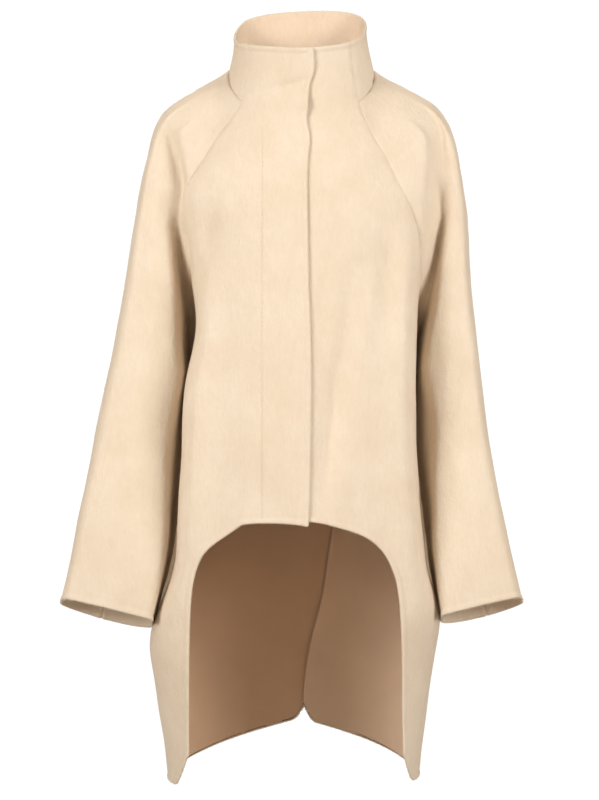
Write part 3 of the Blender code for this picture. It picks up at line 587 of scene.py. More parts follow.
def rounded(rows, times=4):
    """Rows of points with their corners cut off again and again, and their ends kept."""
    for _ in range(times):
        near_first = 0.75 * rows[:, :-1] + 0.25 * rows[:, 1:]
        near_second = 0.25 * rows[:, :-1] + 0.75 * rows[:, 1:]
        cut = np.stack([near_first, near_second], axis=2).reshape(len(rows), -1, 3)
        rows = np.concatenate([rows[:, :1], cut, rows[:, -1:]], axis=1)
    return rows


def along_rows(rows, share):
    """Points at shares of the length of each row."""
    points = np.empty((*share.shape, 3))
    for i, row in enumerate(rows):
        length = np.concatenate([[0.0], np.cumsum(np.linalg.norm(np.diff(row, axis=0), axis=-1))])
        for k in range(3):
            points[i, :, k] = np.interp(share[i] * length[-1], length, row[:, k])
    return points


class Sleeve:
    """One sleeve as rows of sections: by station, and by share of a section from front seam to back seam."""

    def __init__(self, side):
        self.side = side
        self.outer = Curves(SLEEVE_COLUMNS, SLEEVES)
        underarm = torso(np.array(SIGN[side] * math.radians(UNDERARM_ANGLE)), np.array(UNDERARM_LEVEL))
        first = (1.0, abs(underarm[0]), underarm[2], underarm[1])
        self.inner = Curves(UNDERARM_COLUMNS, (first, *UNDERARMS[side]))
        self.armpit = Curves(ARMPIT_COLUMNS, ARMPITS[side])
        self.arm = Curves(ARM_COLUMNS, ARMS[side])

    def outer_line(self, station):
        """The line down the outside of the arm."""
        x = SIGN[self.side] * self.outer(f"{self.side}_out", station)
        height = self.outer(f"{self.side}_height", station)
        return np.stack([x, self.outer("middle", station), height], axis=-1)

    def seam_line(self, column, station):
        """The front or back edge of the sleeve: on the raglan seam, then down the underarm seam."""
        raglan = torso(SIGN[self.side] * raglan_angle(column, station), raglan_level(column, station))
        x = SIGN[self.side] * self.inner("in", station)
        tube = np.stack([x, self.inner("depth", station), self.inner("height", station)], axis=-1)
        return np.where((station <= 1)[..., None], raglan, tube)

    def leaving(self, column, station, seam, outer, forward):
        """The way a section leaves its seam: along the chest at first, and out of a valley further down."""
        angle = SIGN[self.side] * raglan_angle(column, station)
        normal = torso_normal(angle, raglan_level(column, station))
        run = outer - seam
        tangent = unit(run - np.sum(run * normal, axis=-1, keepdims=True) * normal)
        outward = 0.4 * np.clip(1.2 - station, 0, 1)
        if forward > 0:
            outward = outward + BACK_LEAN * ramp(station, 0.85, 1.15)
        valley = unit(np.stack([SIGN[self.side] * outward, forward + 0 * outward, 0 * outward], axis=-1))
        weight = ramp(station, *VALLEY_STATIONS)[..., None]
        return unit((1 - weight) * tangent + weight * valley)

    def even_half(self, column, forward, station, share):
        """Half of each section as an even curve from its seam at share 0 to the outer line at share 1."""
        outer = self.outer_line(station)
        seam = self.seam_line(column, station)
        length = self.outer("front_reach" if forward < 0 else "back_reach", station)[..., None]
        first = seam + length * self.leaving(column, station, seam, outer, forward)
        second = outer + length * np.array([0.0, forward, 0.0])
        flat = ramp(station, *FLAT_STATIONS)[:, None]
        inward = (seam - outer) * np.array([1.0, 0.0, 1.0])
        crest = outer + CREST_SHARE * inward + np.array([0.0, forward * CREST_DEPTH, 0.0])
        turn = outer + np.array([0.0, forward * EDGE_TURN, 0.0])
        controls = (
            seam,
            seam + (0.75 - LEAVING_CUT * flat) * (first - seam),
            (1 - flat) * (first + second) / 2 + flat * crest,
            (1 - flat) * (3 * second + outer) / 4 + flat * turn,
            outer,
        )
        share = share[..., None]
        rest = 1 - share
        weights = (rest**4, 4 * rest**3 * share, 6 * rest**2 * share**2, 4 * rest * share**3, share**4)
        return sum(weight * control[:, None, :] for weight, control in zip(weights, controls))

    def folded_half(self, station, share):
        """The front half of each section: the seam, the armpit fold's edge, its valley and the flat arm."""
        seam = self.seam_line(self.side, station)
        outer = self.outer_line(station)
        near, far = np.abs(seam[:, 0]), np.abs(outer[:, 0])
        above = np.clip(1.06 - station, 0, 0.06)[:, None] / 0.06

        def at(x, y):
            level = seam[:, 2] + (outer[:, 2] - seam[:, 2]) * (x - near) / (far - near)
            return np.stack([SIGN[self.side] * x, y, level], axis=-1)

        height = seam[:, 2]
        limit = near + VALLEY_LIMIT * (far - near)
        for _ in range(3):
            valley_x = np.clip(self.armpit("valley", height), near + VALLEY_GAP, limit)
            height = at(valley_x, 0 * near)[:, 2]
        edge_x = np.clip(self.armpit("edge", height), near, np.maximum(near, valley_x - EDGE_GAP))
        edge = at(edge_x, seam[:, 1] + EDGE_FALL * (edge_x - near))
        valley = above * at(valley_x, self.armpit("depth", height)) + (1 - above) * seam
        edge = above * edge + (1 - above) * seam
        valley_x = np.abs(valley[:, 0])
        depth = CORNER_SHARE * self.outer("front_reach", station)
        arm_x = np.minimum(valley_x + self.arm("turn", station), near + ARM_LIMIT * (far - near))
        arm = at(arm_x, outer[:, 1] - self.arm("share", station) * depth)
        corner = at(far - self.arm("inset", station), outer[:, 1] - depth)
        middle = (arm + corner) / 2 - np.array([0.0, ARM_BULGE, 0.0])
        down = edge + 0.6 * (valley - edge)
        crisp = ramp(station, *CRISP_STATIONS)[:, None]
        up = valley + (0.35 + 0.40 * crisp) * (arm - valley)
        ahead = arm + (0.45 - 0.30 * crisp) * (middle - arm)
        flat = middle + 0.6 * (corner - middle)
        path = np.stack([seam, edge, down, valley, up, arm, ahead, middle, flat, corner, outer], axis=1)
        return along_rows(rounded(path), share)

    def drape(self, station, share):
        """Points of the sections, with the cuff sloped down to the front."""
        share_front = np.clip(2 * share, 0, 1)
        flat = ramp(station, *FLAT_STATIONS)[:, None, None]
        front = (1 - flat) * self.even_half(self.side, -1.0, station, share_front)
        front = front + flat * self.folded_half(station, share_front)
        back = self.even_half("behind", 1.0, station, np.clip(2 - 2 * share, 0, 1))
        points = np.where((share < 0.5)[..., None], front, back)
        slope = CUFF_SLOPE * ramp(station, *CUFF_STATIONS)[:, None]
        points[..., 2] -= slope * (points[..., 1] - self.outer("middle", station)[:, None])
        return points

    def neck_angle(self, share):
        front = raglan_angle(self.side, np.zeros(1))[0]
        back = raglan_angle("behind", np.zeros(1))[0]
        return SIGN[self.side] * (front + (back - front) * share)

    def grid(self, station, share):
        """Points of rows at these stations, each with its own shares. The first row lies on the neck seam."""
        points = self.drape(station, share)
        angle = self.neck_angle(share)
        miss = torso(angle, neck_level(angle)) - self.drape(0 * station, share)
        weight = np.clip(1 - station / NECK_MATCH_STATION, 0, 1)[:, None, None] ** 2
        return points + weight * miss

    def seam_share(self, station):
        """Where the overarm seam lies: on top at the neck, drifting to the back of the cuff."""
        return SLEEVE_SEAM_AT_NECK + (SLEEVE_SEAM_AT_CUFF - SLEEVE_SEAM_AT_NECK) * ramp(station, 0.3, 2.0)


def lines(length, start=True, end=True, step=STEP):
    """Shares of a stretch of this length: even lines, and closer ones at the ends that are edges."""
    near = np.array(EDGE_LINES)
    low = near if start else near[:1]
    high = length - near[::-1] if end else np.array([length])
    count = max(2, int(round((high[0] - low[-1]) / step)))
    middle = np.linspace(low[-1], high[0], count + 1)[1:-1]
    return np.concatenate([low, middle, high]) / length


def grid_normals(points, outward):
    """Normals of a grid of points, on the side that outward says at each point."""
    normals = unit(np.cross(np.gradient(points, axis=1), np.gradient(points, axis=0)))
    turn = np.sign(np.sum(normals * outward, axis=-1).mean())
    return normals * turn


def wander(points, seed, size):
    """Smooth unevenness of about -1 to 1, with bumps of about this size."""
    dice = np.random.default_rng(seed)
    total = np.zeros(points.shape[:-1])
    for _ in range(7):
        way = unit(dice.normal(size=3)) * dice.uniform(0.6, 1.3) / size
        total += np.sin(points @ way * 2 * math.pi + dice.uniform(0, 2 * math.pi))
    return total / 3


def boundary_edges(corners):
    """The edges that belong to one cell only, each in the direction of that cell."""
    edges = np.concatenate([corners[:, [k, (k + 1) % 4]] for k in range(4)])
    _, first, count = np.unique(np.sort(edges, axis=1), axis=0, return_index=True, return_counts=True)
    return edges[first[count == 1]]


def distance_to(points, segments):
    """Each point's distance to some line segments, up to 40 mm."""
    if not len(segments):
        return np.full(len(points), FAR)
    shares = np.linspace(0, 1, 5)[:, None, None]
    samples = (segments[:, 0] + shares * (segments[:, 1] - segments[:, 0])).reshape(-1, 3)
    tree = tree_of(samples)
    return np.array([min(tree.find(place)[2], FAR) for place in points])


def cloth_relief(points, sewn_distance, free_distance):
    """How far the cloth's face stands out: sunk seams with a soft ridge beside them, and turned edges."""
    fading = 0.7 + 0.3 * np.clip(wander(points, 6, 0.13), -1, 1)
    sunk = -0.0008 * fading * bell(sewn_distance, 0.0020)
    ridge = 0.0002 * bell(sewn_distance - 0.0075, 0.004)
    pucker = 0.0005 * wander(points, 5, 0.022) * np.exp(-sewn_distance / 0.010)
    turned = 0.0010 * bell(free_distance, 0.005, 4)
    stitched = -0.0007 * bell(free_distance - 0.0065, 0.0013)
    return sunk + ridge + pucker + turned + stitched


def allowance(sewn_distance):
    """How far the inside face stands in beside a seam, where the edges of both pieces are pressed open."""
    return 0.0011 * bell(sewn_distance, 0.008, 4) - 0.0016 * bell(sewn_distance, 0.0014)


def unevenness(points):
    """Slow waves of the whole cloth, the same for pieces that lie on each other."""
    return 0.0011 * wander(points, 11, 0.19) + 0.0004 * wander(points, 12, 0.07)


class Panel:
    """One cloth piece as a grid of points on its face, with the edges that are sewn to other pieces."""

    def __init__(self, points, normals, sewn, lift=0.0, cells=None):
        rows, columns = points.shape[:2]
        if cells is None:
            cells = np.ones((rows - 1, columns - 1), bool)
        number = np.arange(rows * columns).reshape(rows, columns)
        corners = np.stack([number[:-1, :-1], number[:-1, 1:], number[1:, 1:], number[1:, :-1]], axis=-1)
        self.corners = corners[cells]
        self.points = points.reshape(-1, 3)
        self.out = normals.reshape(-1, 3)
        self.lift = np.broadcast_to(lift, (rows, columns)).ravel()
        self.rim = boundary_edges(self.corners)
        self.is_sewn = sewn.ravel()[self.rim].all(axis=1)
        self.seam = np.unique(self.rim[self.is_sewn])
        self.seam_out = self.out[self.seam]

    def distances(self, edges):
        used = np.unique(self.corners)
        distance = np.full(len(self.points), FAR)
        distance[used] = distance_to(self.points[used], self.points[edges])
        return distance


def tree_of(places):
    tree = KDTree(len(places))
    for i, place in enumerate(places):
        tree.insert(place, i)
    tree.balance()
    return tree


def share_seam_directions(panels):
    """At each seam, one outward direction for all the panels that meet there."""
    owner = np.concatenate([np.full(len(panel.seam), i) for i, panel in enumerate(panels)])
    places = np.concatenate([panel.points[panel.seam] for panel in panels])
    outs = np.concatenate([panel.out[panel.seam] for panel in panels])
    tree = tree_of(places)
    for i, panel in enumerate(panels):
        for k, vertex in enumerate(panel.seam):
            nearest = {}
            for _place, found, gap in tree.find_range(panel.points[vertex], SEAM_REACH):
                if gap < nearest.get(owner[found], (1.0, 0))[0]:
                    nearest[owner[found]] = (gap, found)
            panel.seam_out[k] = unit(sum(outs[found] for _gap, found in nearest.values()))


def edge_ways(panel):
    """The way out past the free edges at each point along them, and nothing at other points."""
    flat, rim = panel.points, panel.rim
    way = np.zeros_like(flat)
    run = flat[rim[:, 1]] - flat[rim[:, 0]]
    facing = np.cross(run, panel.out[rim[:, 0]])
    centre = flat[panel.corners].mean(axis=(0, 1))
    side = np.sign(np.median(np.sum(facing * (flat[rim[:, 0]] - centre), axis=-1)))
    facing = unit(facing) * side * ~panel.is_sewn[:, None]
    np.add.at(way, rim[:, 0], facing)
    np.add.at(way, rim[:, 1], facing)
    return unit(way) * (np.linalg.norm(way, axis=-1, keepdims=True) > 0.3)


def make_wall(name, panel, materials, thickness=CLOTH, relief=cloth_relief):
    """A wall of an outer and an inner face, joined by rounded free edges and flat sewn ones.

    The last of its materials is on the inner face and the first on the rest.
    """
    flat, out, corners, rim, is_sewn = panel.points, panel.out, panel.corners, panel.rim, panel.is_sewn
    sewn_distance = panel.distances(rim[is_sewn])
    free_distance = panel.distances(rim[~is_sewn])
    stands = out.copy()
    near = np.flatnonzero(sewn_distance < SEAM_SIDE)
    if len(near):
        tree = tree_of(flat[panel.seam])
        shared = panel.seam_out[[tree.find(flat[i])[1] for i in near]]
        weight = bell(sewn_distance[near], SEAM_SPREAD)[:, None]
        stands[near] = unit((1 - weight) * out[near] + weight * shared)
    base = flat + panel.lift[:, None] * out + unevenness(flat)[:, None] * stands
    outer = base + relief(flat, sewn_distance, free_distance)[:, None] * stands
    inner = base - (thickness + allowance(sewn_distance) * (relief is cloth_relief))[:, None] * out

    way = edge_ways(panel)
    free = rim[~is_sewn]
    panel.fringe = ((outer + inner)[free] / 2, way[free], out[free])
    edge = np.unique(rim)
    place = np.zeros(len(flat), int)
    place[edge] = np.arange(len(edge))
    size = len(flat)
    middle = (outer[edge] + inner[edge]) / 2
    half = (outer[edge] - inner[edge]) / 2
    reach = np.linalg.norm(half, axis=-1, keepdims=True) * way[edge]
    turns = np.linspace(0, math.pi, RIM_SEGMENTS + 1)[1:-1]
    strips = [middle + math.cos(turn) * half + math.sin(turn) * reach for turn in turns]
    places = np.concatenate([outer, inner, *strips])
    layers = [lambda v: v]
    layers += [lambda v, k=k: 2 * size + k * len(edge) + place[v] for k in range(len(turns))]
    layers += [lambda v: v + size]
    faces = [corners, corners[:, [0, 3, 2, 1]] + size]
    for near, far in zip(layers, layers[1:]):
        a, b = rim[:, 0], rim[:, 1]
        faces.append(np.stack([near(a), far(a), far(b), near(b)], axis=-1))
    faces = np.concatenate(faces)

    kept = np.unique(faces)
    renumber = np.zeros(len(places), int)
    renumber[kept] = np.arange(len(kept))
    faces = renumber[faces]
    start, along, across = (flat[corners[:, k]] for k in (0, 1, 3))
    turn = np.sum(np.cross(along - start, across - start) * out[corners[:, 0]], axis=-1)
    if np.median(turn) < 0:
        faces = faces[:, ::-1]
    piece = mesh_piece(name, places[kept], faces.tolist(), *materials)
    slots = np.zeros(len(faces), np.int32)
    slots[len(corners) : 2 * len(corners)] = len(materials) - 1
    piece.data.polygons.foreach_set("material_index", slots)
    piece.data.validate()
    return piece


def mesh_piece(name, places, faces, *materials):
    """A smooth piece with these points, faces and materials."""
    mesh = bpy.data.meshes.new(name)
    mesh.from_pydata(places.reshape(-1, 3).tolist(), [], faces)
    mesh.shade_smooth()
    for material in materials:
        mesh.materials.append(material)
    piece = bpy.data.objects.new(name, mesh)
    bpy.context.scene.collection.objects.link(piece)
    return piece


def ring_round(first, second, radius, sides):
    """The corners of an even ring, as offsets along two directions."""
    turns = [2 * math.pi * k / sides for k in range(sides)]
    return [radius * (math.cos(turn) * first + math.sin(turn) * second) for turn in turns]


def edge_fuzz(name, panel, kind, material, seed):
    """Short bent fibres that stand out of a piece's free edges, each a thin three-sided spike."""
    sizes = dict(zip(FUZZ_COLUMNS, FUZZ[kind]))
    dice = np.random.default_rng(seed)
    ends, ways, outs = panel.fringe
    runs = np.linalg.norm(ends[:, 1] - ends[:, 0], axis=-1)
    count = int(runs.sum() / sizes["space"])
    pick = dice.choice(len(ends), count, p=runs / runs.sum())
    share = dice.random((count, 1))
    root, way, out = (pair[pick, 0] * (1 - share) + pair[pick, 1] * share for pair in (ends, ways, outs))
    along = unit(ends[pick, 1] - ends[pick, 0])
    across = dice.uniform(-1, 1, (count, 1))
    root = root + CLOTH / 2 * (across * out + np.sqrt(1 - across**2) * way)
    lean = unit(way + 0.5 * across * out + dice.normal(0, 0.6, (count, 1)) * along)
    behind = np.where(root[:, 1:2] > FUZZ_BEHIND_DEPTH, sizes["behind"], 1.0)
    reach = behind * sizes["length"] * (0.2 + 0.8 * dice.random((count, 1)) ** 2)
    middle = root + 0.5 * reach * lean
    tip = middle + 0.5 * reach * unit(lean + dice.normal(0, 0.5, (count, 3)))
    first = unit(np.cross(lean, unit(dice.normal(size=(count, 3)))))
    second = np.cross(lean, first)
    radius = sizes["radius"] * dice.uniform(0.6, 1.2, (count, 1))
    ring = ring_round(first, second, radius, 3)
    base = [root - 0.0005 * lean + offset for offset in ring]
    waist = [middle + 0.7 * offset for offset in ring]
    places = np.stack([*base, *waist, tip], axis=1)
    spike = [(2, 1, 0), (0, 1, 4, 3), (1, 2, 5, 4), (2, 0, 3, 5), (3, 4, 6), (4, 5, 6), (5, 3, 6)]
    faces = [tuple(7 * i + k for k in face) for i in range(count) for face in spike]
    return mesh_piece(name, places, faces, material)


def fly_stitches(name, material):
    """The line of stitches that holds the hidden fly: short threads whose ends dip into the cloth."""
    middles = np.arange(FLY_LEVELS[0], FLY_LEVELS[1], -FLY_PITCH)
    steps = np.array([-0.5, -0.42, -0.2, 0.2, 0.42, 0.5]) * STITCH_LENGTH
    heights = np.array([-0.0009, 0.0, 0.0004, 0.0004, 0.0, -0.0009])
    levels = middles[:, None] + steps
    angles = -angle_at("right", FLY_X + 0 * levels, levels)
    flat = torso(angles, levels)
    normals = torso_normal(angles, levels)
    lift = LAP_STEP * ramp(angles, *np.radians(LAP_ANGLES)) + unevenness(flat) + heights
    core = flat + lift[..., None] * normals
    run = unit(np.gradient(core, axis=1))
    sideways = unit(np.cross(run, normals))
    sides = 6
    places = np.stack([core + ring for ring in ring_round(normals, sideways, STITCH_RADIUS, sides)], axis=2)
    across = len(steps)
    faces = []
    for i in range(len(middles)):
        start = i * across * sides
        for j in range(across - 1):
            for k in range(sides):
                here, after = start + j * sides + k, start + j * sides + (k + 1) % sides
                faces.append((here, after, after + sides, here + sides))
        faces.append(tuple(start + k for k in reversed(range(sides))))
        faces.append(tuple(start + (across - 1) * sides + k for k in range(sides)))
    return mesh_piece(name, places, faces, material)


def side_levels(hem, upper_rows, lower_rows):
    """Levels below the underarm along one grid line: down to the crown of the arch, then on to the hem."""
    upper = UNDERARM_LEVEL + (CROWN_LEVEL - UNDERARM_LEVEL) * upper_rows[1:]
    lower = CROWN_LEVEL + (hem - CROWN_LEVEL) * lower_rows[1:]
    return np.concatenate([upper, lower])


def tail_hem(side, share):
    """The front piece's hem beside the arch: a cut-off corner, then level to the side seam."""
    drop = ramp(share, -TAIL_CORNER_SHARE, TAIL_CORNER_SHARE)
    return TAIL_CORNER_LEVEL + (TAIL_TIP_LEVEL[side] - TAIL_CORNER_LEVEL) * (2 * drop - 1)


def back_hem(side, angle):
    """The back piece's hem: it rises evenly from the side seam to the centre back, where a vent opens."""
    share = 1 - np.abs(np.sin(angle)) / math.sin(math.radians(SIDE_SEAM_ANGLES[1]))
    level = TAIL_TIP_LEVEL[side] + (BACK_HEM_LEVEL - TAIL_TIP_LEVEL[side]) * np.clip(share, 0, 1)
    past = math.pi - np.abs(angle) - SIGN[side] * math.radians(VENT_LEAN)
    from_middle = np.degrees(np.abs(past)) / VENT_WIDTH_ANGLE
    return level + VENT_HEIGHT * np.clip(1 - from_middle, 0, 1) ** 2


def row_shares(step=STEP):
    """Shares of the rows: down the collar, the raglan seam, the upper side and the lower side."""
    return {
        "collar": lines(STRETCH["collar"], True, False, step),
        "cap": lines(STRETCH["cap"], False, False, step),
        "upper": lines(STRETCH["upper"], False, True, step),
        "lower": lines(STRETCH["lower"], True, True, step),
    }


def front_grid(side, shares):
    """Angles and levels of a front piece from rim to hem, and its cells: none lie under the arch's crown."""
    crown_lines = lines(STRETCH["crown"], True, False)[:-1]
    tail_lines = lines(STRETCH["tail"])
    crown_count = len(crown_lines)
    raglan = raglan_level(side, shares["cap"])
    hems = np.concatenate([np.full(crown_count, TAIL_CORNER_LEVEL), tail_hem(side, tail_lines)])
    below = np.stack([side_levels(hem, shares["upper"], shares["lower"]) for hem in hems], axis=1)
    across = below.shape[1]

    neck = raglan_angle(side, np.zeros(1))[0]
    dart_top = np.radians(COLLAR_TOP_ANGLE[side])
    collar_shares = shares["collar"][:-1]
    outer = np.concatenate([
        dart_top + (neck - dart_top) * collar_shares,
        raglan_angle(side, shares["cap"]),
        side_seam_angle(below[:, -1]),
    ])
    above = np.repeat(np.concatenate([0 * collar_shares, raglan])[:, None], across, axis=1)
    levels = np.concatenate([above, below])
    collar_rows = len(collar_shares)
    levels[:collar_rows] = RIM_LEVEL + (raglan[0] - RIM_LEVEL) * collar_shares[:, None]

    edge_x = EDGE(side, levels[:, 0]) * SIGN[side]
    edge = np.sign(edge_x) * angle_at(side, np.abs(edge_x), levels[:, 0])
    arch_level = levels[:, crown_count]
    arch = angle_at(side, ARCH_LINE(side, arch_level), arch_level)
    crown_row = len(above) + len(shares["upper"]) - 2
    middle_share = (arch[crown_row] - edge[crown_row]) / (outer[crown_row] - edge[crown_row])
    middle = np.where(np.arange(len(levels)) > crown_row, arch, edge + middle_share * (outer - edge))
    crown = edge[:, None] + (middle - edge)[:, None] * crown_lines
    tail = middle[:, None] + (outer - middle)[:, None] * tail_lines
    angles = SIGN[side] * np.concatenate([crown, tail], axis=1)
    levels[:collar_rows] += (rim_level(angles[0]) - RIM_LEVEL) * (1 - collar_shares)[:, None]

    crown_shape = np.concatenate([1 - crown_lines, [0.0]])
    dip = (CROWN_EDGE_LEVEL[side] - CROWN_LEVEL) * crown_shape
    dip = dip + CROWN_LIFT * np.sin(math.pi * crown_shape) ** 0.7
    fade = ramp(-levels[: crown_row + 1, 0], -UNDERARM_LEVEL, -CROWN_LEVEL)
    levels[: crown_row + 1, : crown_count + 1] += fade[:, None] * dip

    cells = np.ones((len(levels) - 1, across - 1), bool)
    cells[crown_row:, :crown_count] = False
    return angles, levels, cells


def back_grid(side, shares, step=STEP, leaning=False):
    """Angles and levels of a back piece, from its raglan and side seams to the centre back or lining seam."""
    raglan = raglan_angle("behind", shares["cap"])
    upper = raglan_level("behind", shares["cap"])
    side_line = side_levels(TAIL_TIP_LEVEL[side], shares["upper"], shares["lower"])
    start = np.concatenate([raglan, side_seam_angle(side_line)])
    centre_line = side_levels(BACK_HEM_LEVEL, shares["upper"], shares["lower"])
    lean = LINING_LINE("lean", np.concatenate([upper, centre_line])) if leaning else 0 * start
    end = math.pi - SIGN[side] * np.radians(lean)
    angles = start[:, None] + (end - start)[:, None] * lines(STRETCH["back"], step=step)
    lift = neck_level(angles[0]) - neck_level(angles[0, :1])
    above = upper[:, None] + lift * (1 - shares["cap"])[:, None]
    hems = back_hem(side, angles[-1])
    below = np.stack([side_levels(hem, shares["upper"], shares["lower"]) for hem in hems], axis=1)
    return SIGN[side] * angles, np.concatenate([above, below])


def edge_mask(shape, *edges):
    """True along the named edges of a grid."""
    mask = np.zeros(shape, bool)
    for edge in edges:
        mask[{"top": np.s_[0], "bottom": np.s_[-1], "start": np.s_[:, 0], "end": np.s_[:, -1]}[edge]] = True
    return mask


def torso_panel(angles, levels, sewn, lift=0.0, cells=None):
    """A panel on the torso tube, sewn along the named edges of its grid."""
    mask = edge_mask(angles.shape, *sewn)
    return Panel(torso(angles, levels), torso_normal(angles, levels), mask, lift, cells)


def front_panel(side, shares):
    """One front. The right one is lifted to lap over the left."""
    angles, levels, cells = front_grid(side, shares)
    lift = 0.0
    if side == "right":
        loose = STAND_OFF * bell(levels - STAND_OFF_LEVEL, STAND_OFF_SPREAD)
        lift = LAP_STEP * ramp(angles, *np.radians(LAP_ANGLES))
        lift = lift + loose * ramp(angles, *np.radians(STAND_OFF_ANGLES))
    return torso_panel(angles, levels, ["end"], lift, cells)


def back_panel(side, shares):
    return torso_panel(*back_grid(side, shares), ["top", "start", "end"])


def lining_panel(side):
    """Half of the back's lining. At the seam the left half rolls over the right half as a soft pleat."""
    row_step, column_step = LINING_STEPS
    angles, levels = back_grid(side, row_shares(row_step), column_step, leaning=True)
    normals = torso_normal(angles, levels)
    points = torso(angles, levels) - (CLOTH + LINING_SPACE) * normals
    points[0] += LINING_INSET * unit(points[1] - points[0])
    points[-1] += LINING_INSET * unit(points[-2] - points[-1])
    lift = 0.0
    if side == "left":
        lift = -PLEAT_LIFT * bell(np.linalg.norm(points - points[:, -1:], axis=-1), PLEAT_WIDTH)
    return Panel(points, normals, edge_mask(angles.shape, "top", "start", "end"), lift)


def no_relief(points, sewn_distance, free_distance):
    return 0 * sewn_distance


def collar_panel():
    """The collar, from the right front round the back to the left front."""
    right = raglan_angle("right", np.zeros(1))[0]
    left = raglan_angle("left", np.zeros(1))[0]
    around = lines(STRETCH["collar_round"])
    seam = -right + (left - 2 * math.pi + right) * around
    lean_right = (np.radians(COLLAR_TOP_ANGLE["right"]) - right) * np.clip(1 - 4 * around, 0, 1)
    lean_left = (left - np.radians(COLLAR_TOP_ANGLE["left"])) * np.clip(4 * around - 3, 0, 1)
    rows = lines(STRETCH["collar"])[:, None]
    angles = seam - (1 - rows) * (lean_right + lean_left)
    levels = rim_level(angles) + (neck_level(seam) - rim_level(angles)) * rows
    return torso_panel(np.broadcast_to(angles, levels.shape), levels, ["bottom", "start", "end"])


def sleeve_panels(sleeve, shares):
    stations = np.concatenate([shares["cap"], 1 + lines(STRETCH["arm"], start=False)[1:]])
    seam = sleeve.seam_share(stations)[:, None]
    halves = {
        "front": seam * lines(STRETCH["sleeve_front"]),
        "back": seam + (1 - seam) * lines(STRETCH["sleeve_back"]),
    }
    panels = {}
    for half, across in halves.items():
        points = sleeve.grid(stations, across)
        middle = (sleeve.outer_line(stations) + sleeve.seam_line(sleeve.side, stations)) / 2
        normals = grid_normals(points, points - middle[:, None])
        panels[half] = Panel(points, normals, edge_mask(across.shape, "top", "start", "end"))
    return panels


def new_material(name, colour, roughness):
    material = bpy.data.materials.new(name)
    material.use_nodes = True
    tree = material.node_tree
    shader = tree.nodes["Principled BSDF"]
    shader.inputs["Base Color"].default_value = (*colour, 1.0)
    shader.inputs["Roughness"].default_value = roughness
    return material, tree, shader


def add_node(tree, kind, values, links):
    """A node of this kind, with input sockets set to values or linked from other sockets."""
    node = tree.nodes.new(kind)
    for name, value in values.items():
        node.inputs[name].default_value = value
    for name, socket in links.items():
        tree.links.new(socket, node.inputs[name])
    return node


def noise(tree, place, scale, detail, low, high, roughness=0.55):
    """Noise at a place, stretched so that low becomes 0 and high becomes 1."""
    values = {"Scale": scale, "Detail": detail, "Roughness": roughness}
    node = add_node(tree, "ShaderNodeTexNoise", values, {"Vector": place})
    limits = {"From Min": low, "From Max": high}
    return add_node(tree, "ShaderNodeMapRange", limits, {"Value": node.outputs["Fac"]}).outputs["Result"]


def blended(tree, factor, low, high):
    """A colour between two others, each a colour or a socket."""
    node = tree.nodes.new("ShaderNodeMix")
    node.data_type = "RGBA"
    if isinstance(factor, float):
        node.inputs["Factor"].default_value = factor
    else:
        tree.links.new(factor, node.inputs["Factor"])
    sockets = [s for s in node.inputs if s.type == "RGBA"]
    for socket, value in zip(sockets, (low, high)):
        if isinstance(value, tuple):
            socket.default_value = (*value, 1.0)
        else:
            tree.links.new(value, socket)
    return [s for s in node.outputs if s.type == "RGBA"][0]


def bump(tree, height, strength, distance, below=None):
    """A normal that stands out by a height, on top of the one below."""
    links = {"Height": height}
    if below is not None:
        links["Normal"] = below
    values = {"Strength": strength, "Distance": distance}
    return add_node(tree, "ShaderNodeBump", values, links).outputs["Normal"]


def place_of(tree, stretch=(1.0, 1.0, 1.0)):
    """Coordinates in metres on the object, stretched along its axes."""
    source = tree.nodes.new("ShaderNodeTexCoord")
    links = {"Vector": source.outputs["Object"]}
    return add_node(tree, "ShaderNodeMapping", {"Scale": stretch}, links).outputs["Vector"]


def wool_material(name, low, high):
    """Cream brushed felt: mottled, with short fibres that run down the cloth and a soft sheen."""
    material, tree, shader = new_material(name, high, 0.95)
    brushed = place_of(tree, (1.0, 1.0, 0.3))
    mottle = noise(tree, place_of(tree), 14.0, 4.0, 0.35, 0.65)
    patch = noise(tree, place_of(tree, (1.0, 1.0, 0.55)), 46.0, 4.0, 0.34, 0.66)
    fibre = noise(tree, brushed, 900.0, 5.0, 0.3, 0.7, 0.7)
    clump = noise(tree, brushed, 230.0, 5.0, 0.32, 0.68, 0.68)
    colour = blended(tree, mottle, low, high)
    shades = ((patch, 0.07, PATCH_SHADE), (fibre, 0.14, FIBRE_SHADE), (clump, 0.12, FIBRE_SHADE))
    for pattern, depth, shade in shades:
        colour = blended(tree, pattern, blended(tree, depth, colour, shade), colour)
    tree.links.new(colour, shader.inputs["Base Color"])
    relief = bump(tree, patch, 0.30, 0.0030)
    relief = bump(tree, clump, 0.40, 0.0012, relief)
    relief = bump(tree, fibre, 0.35, 0.0005, relief)
    tree.links.new(relief, shader.inputs["Normal"])
    shader.inputs["Specular IOR Level"].default_value = 0.2
    shader.inputs["Sheen Weight"].default_value = 0.25
    shader.inputs["Sheen Roughness"].default_value = 0.45
    shader.inputs["Sheen Tint"].default_value = (1.0, 0.92, 0.80, 1.0)
    return material


def thread_material(name, colour, roughness):
    """Spun fibre: a little uneven in tone along its length, with a soft sheen."""
    material, tree, shader = new_material(name, colour, roughness)
    tone = noise(tree, place_of(tree), 260.0, 3.0, 0.3, 0.7)
    darker = tuple(0.86 * c for c in colour)
    tree.links.new(blended(tree, tone, darker, colour), shader.inputs["Base Color"])
    shader.inputs["Specular IOR Level"].default_value = 0.2
    shader.inputs["Sheen Weight"].default_value = 0.3
    return material


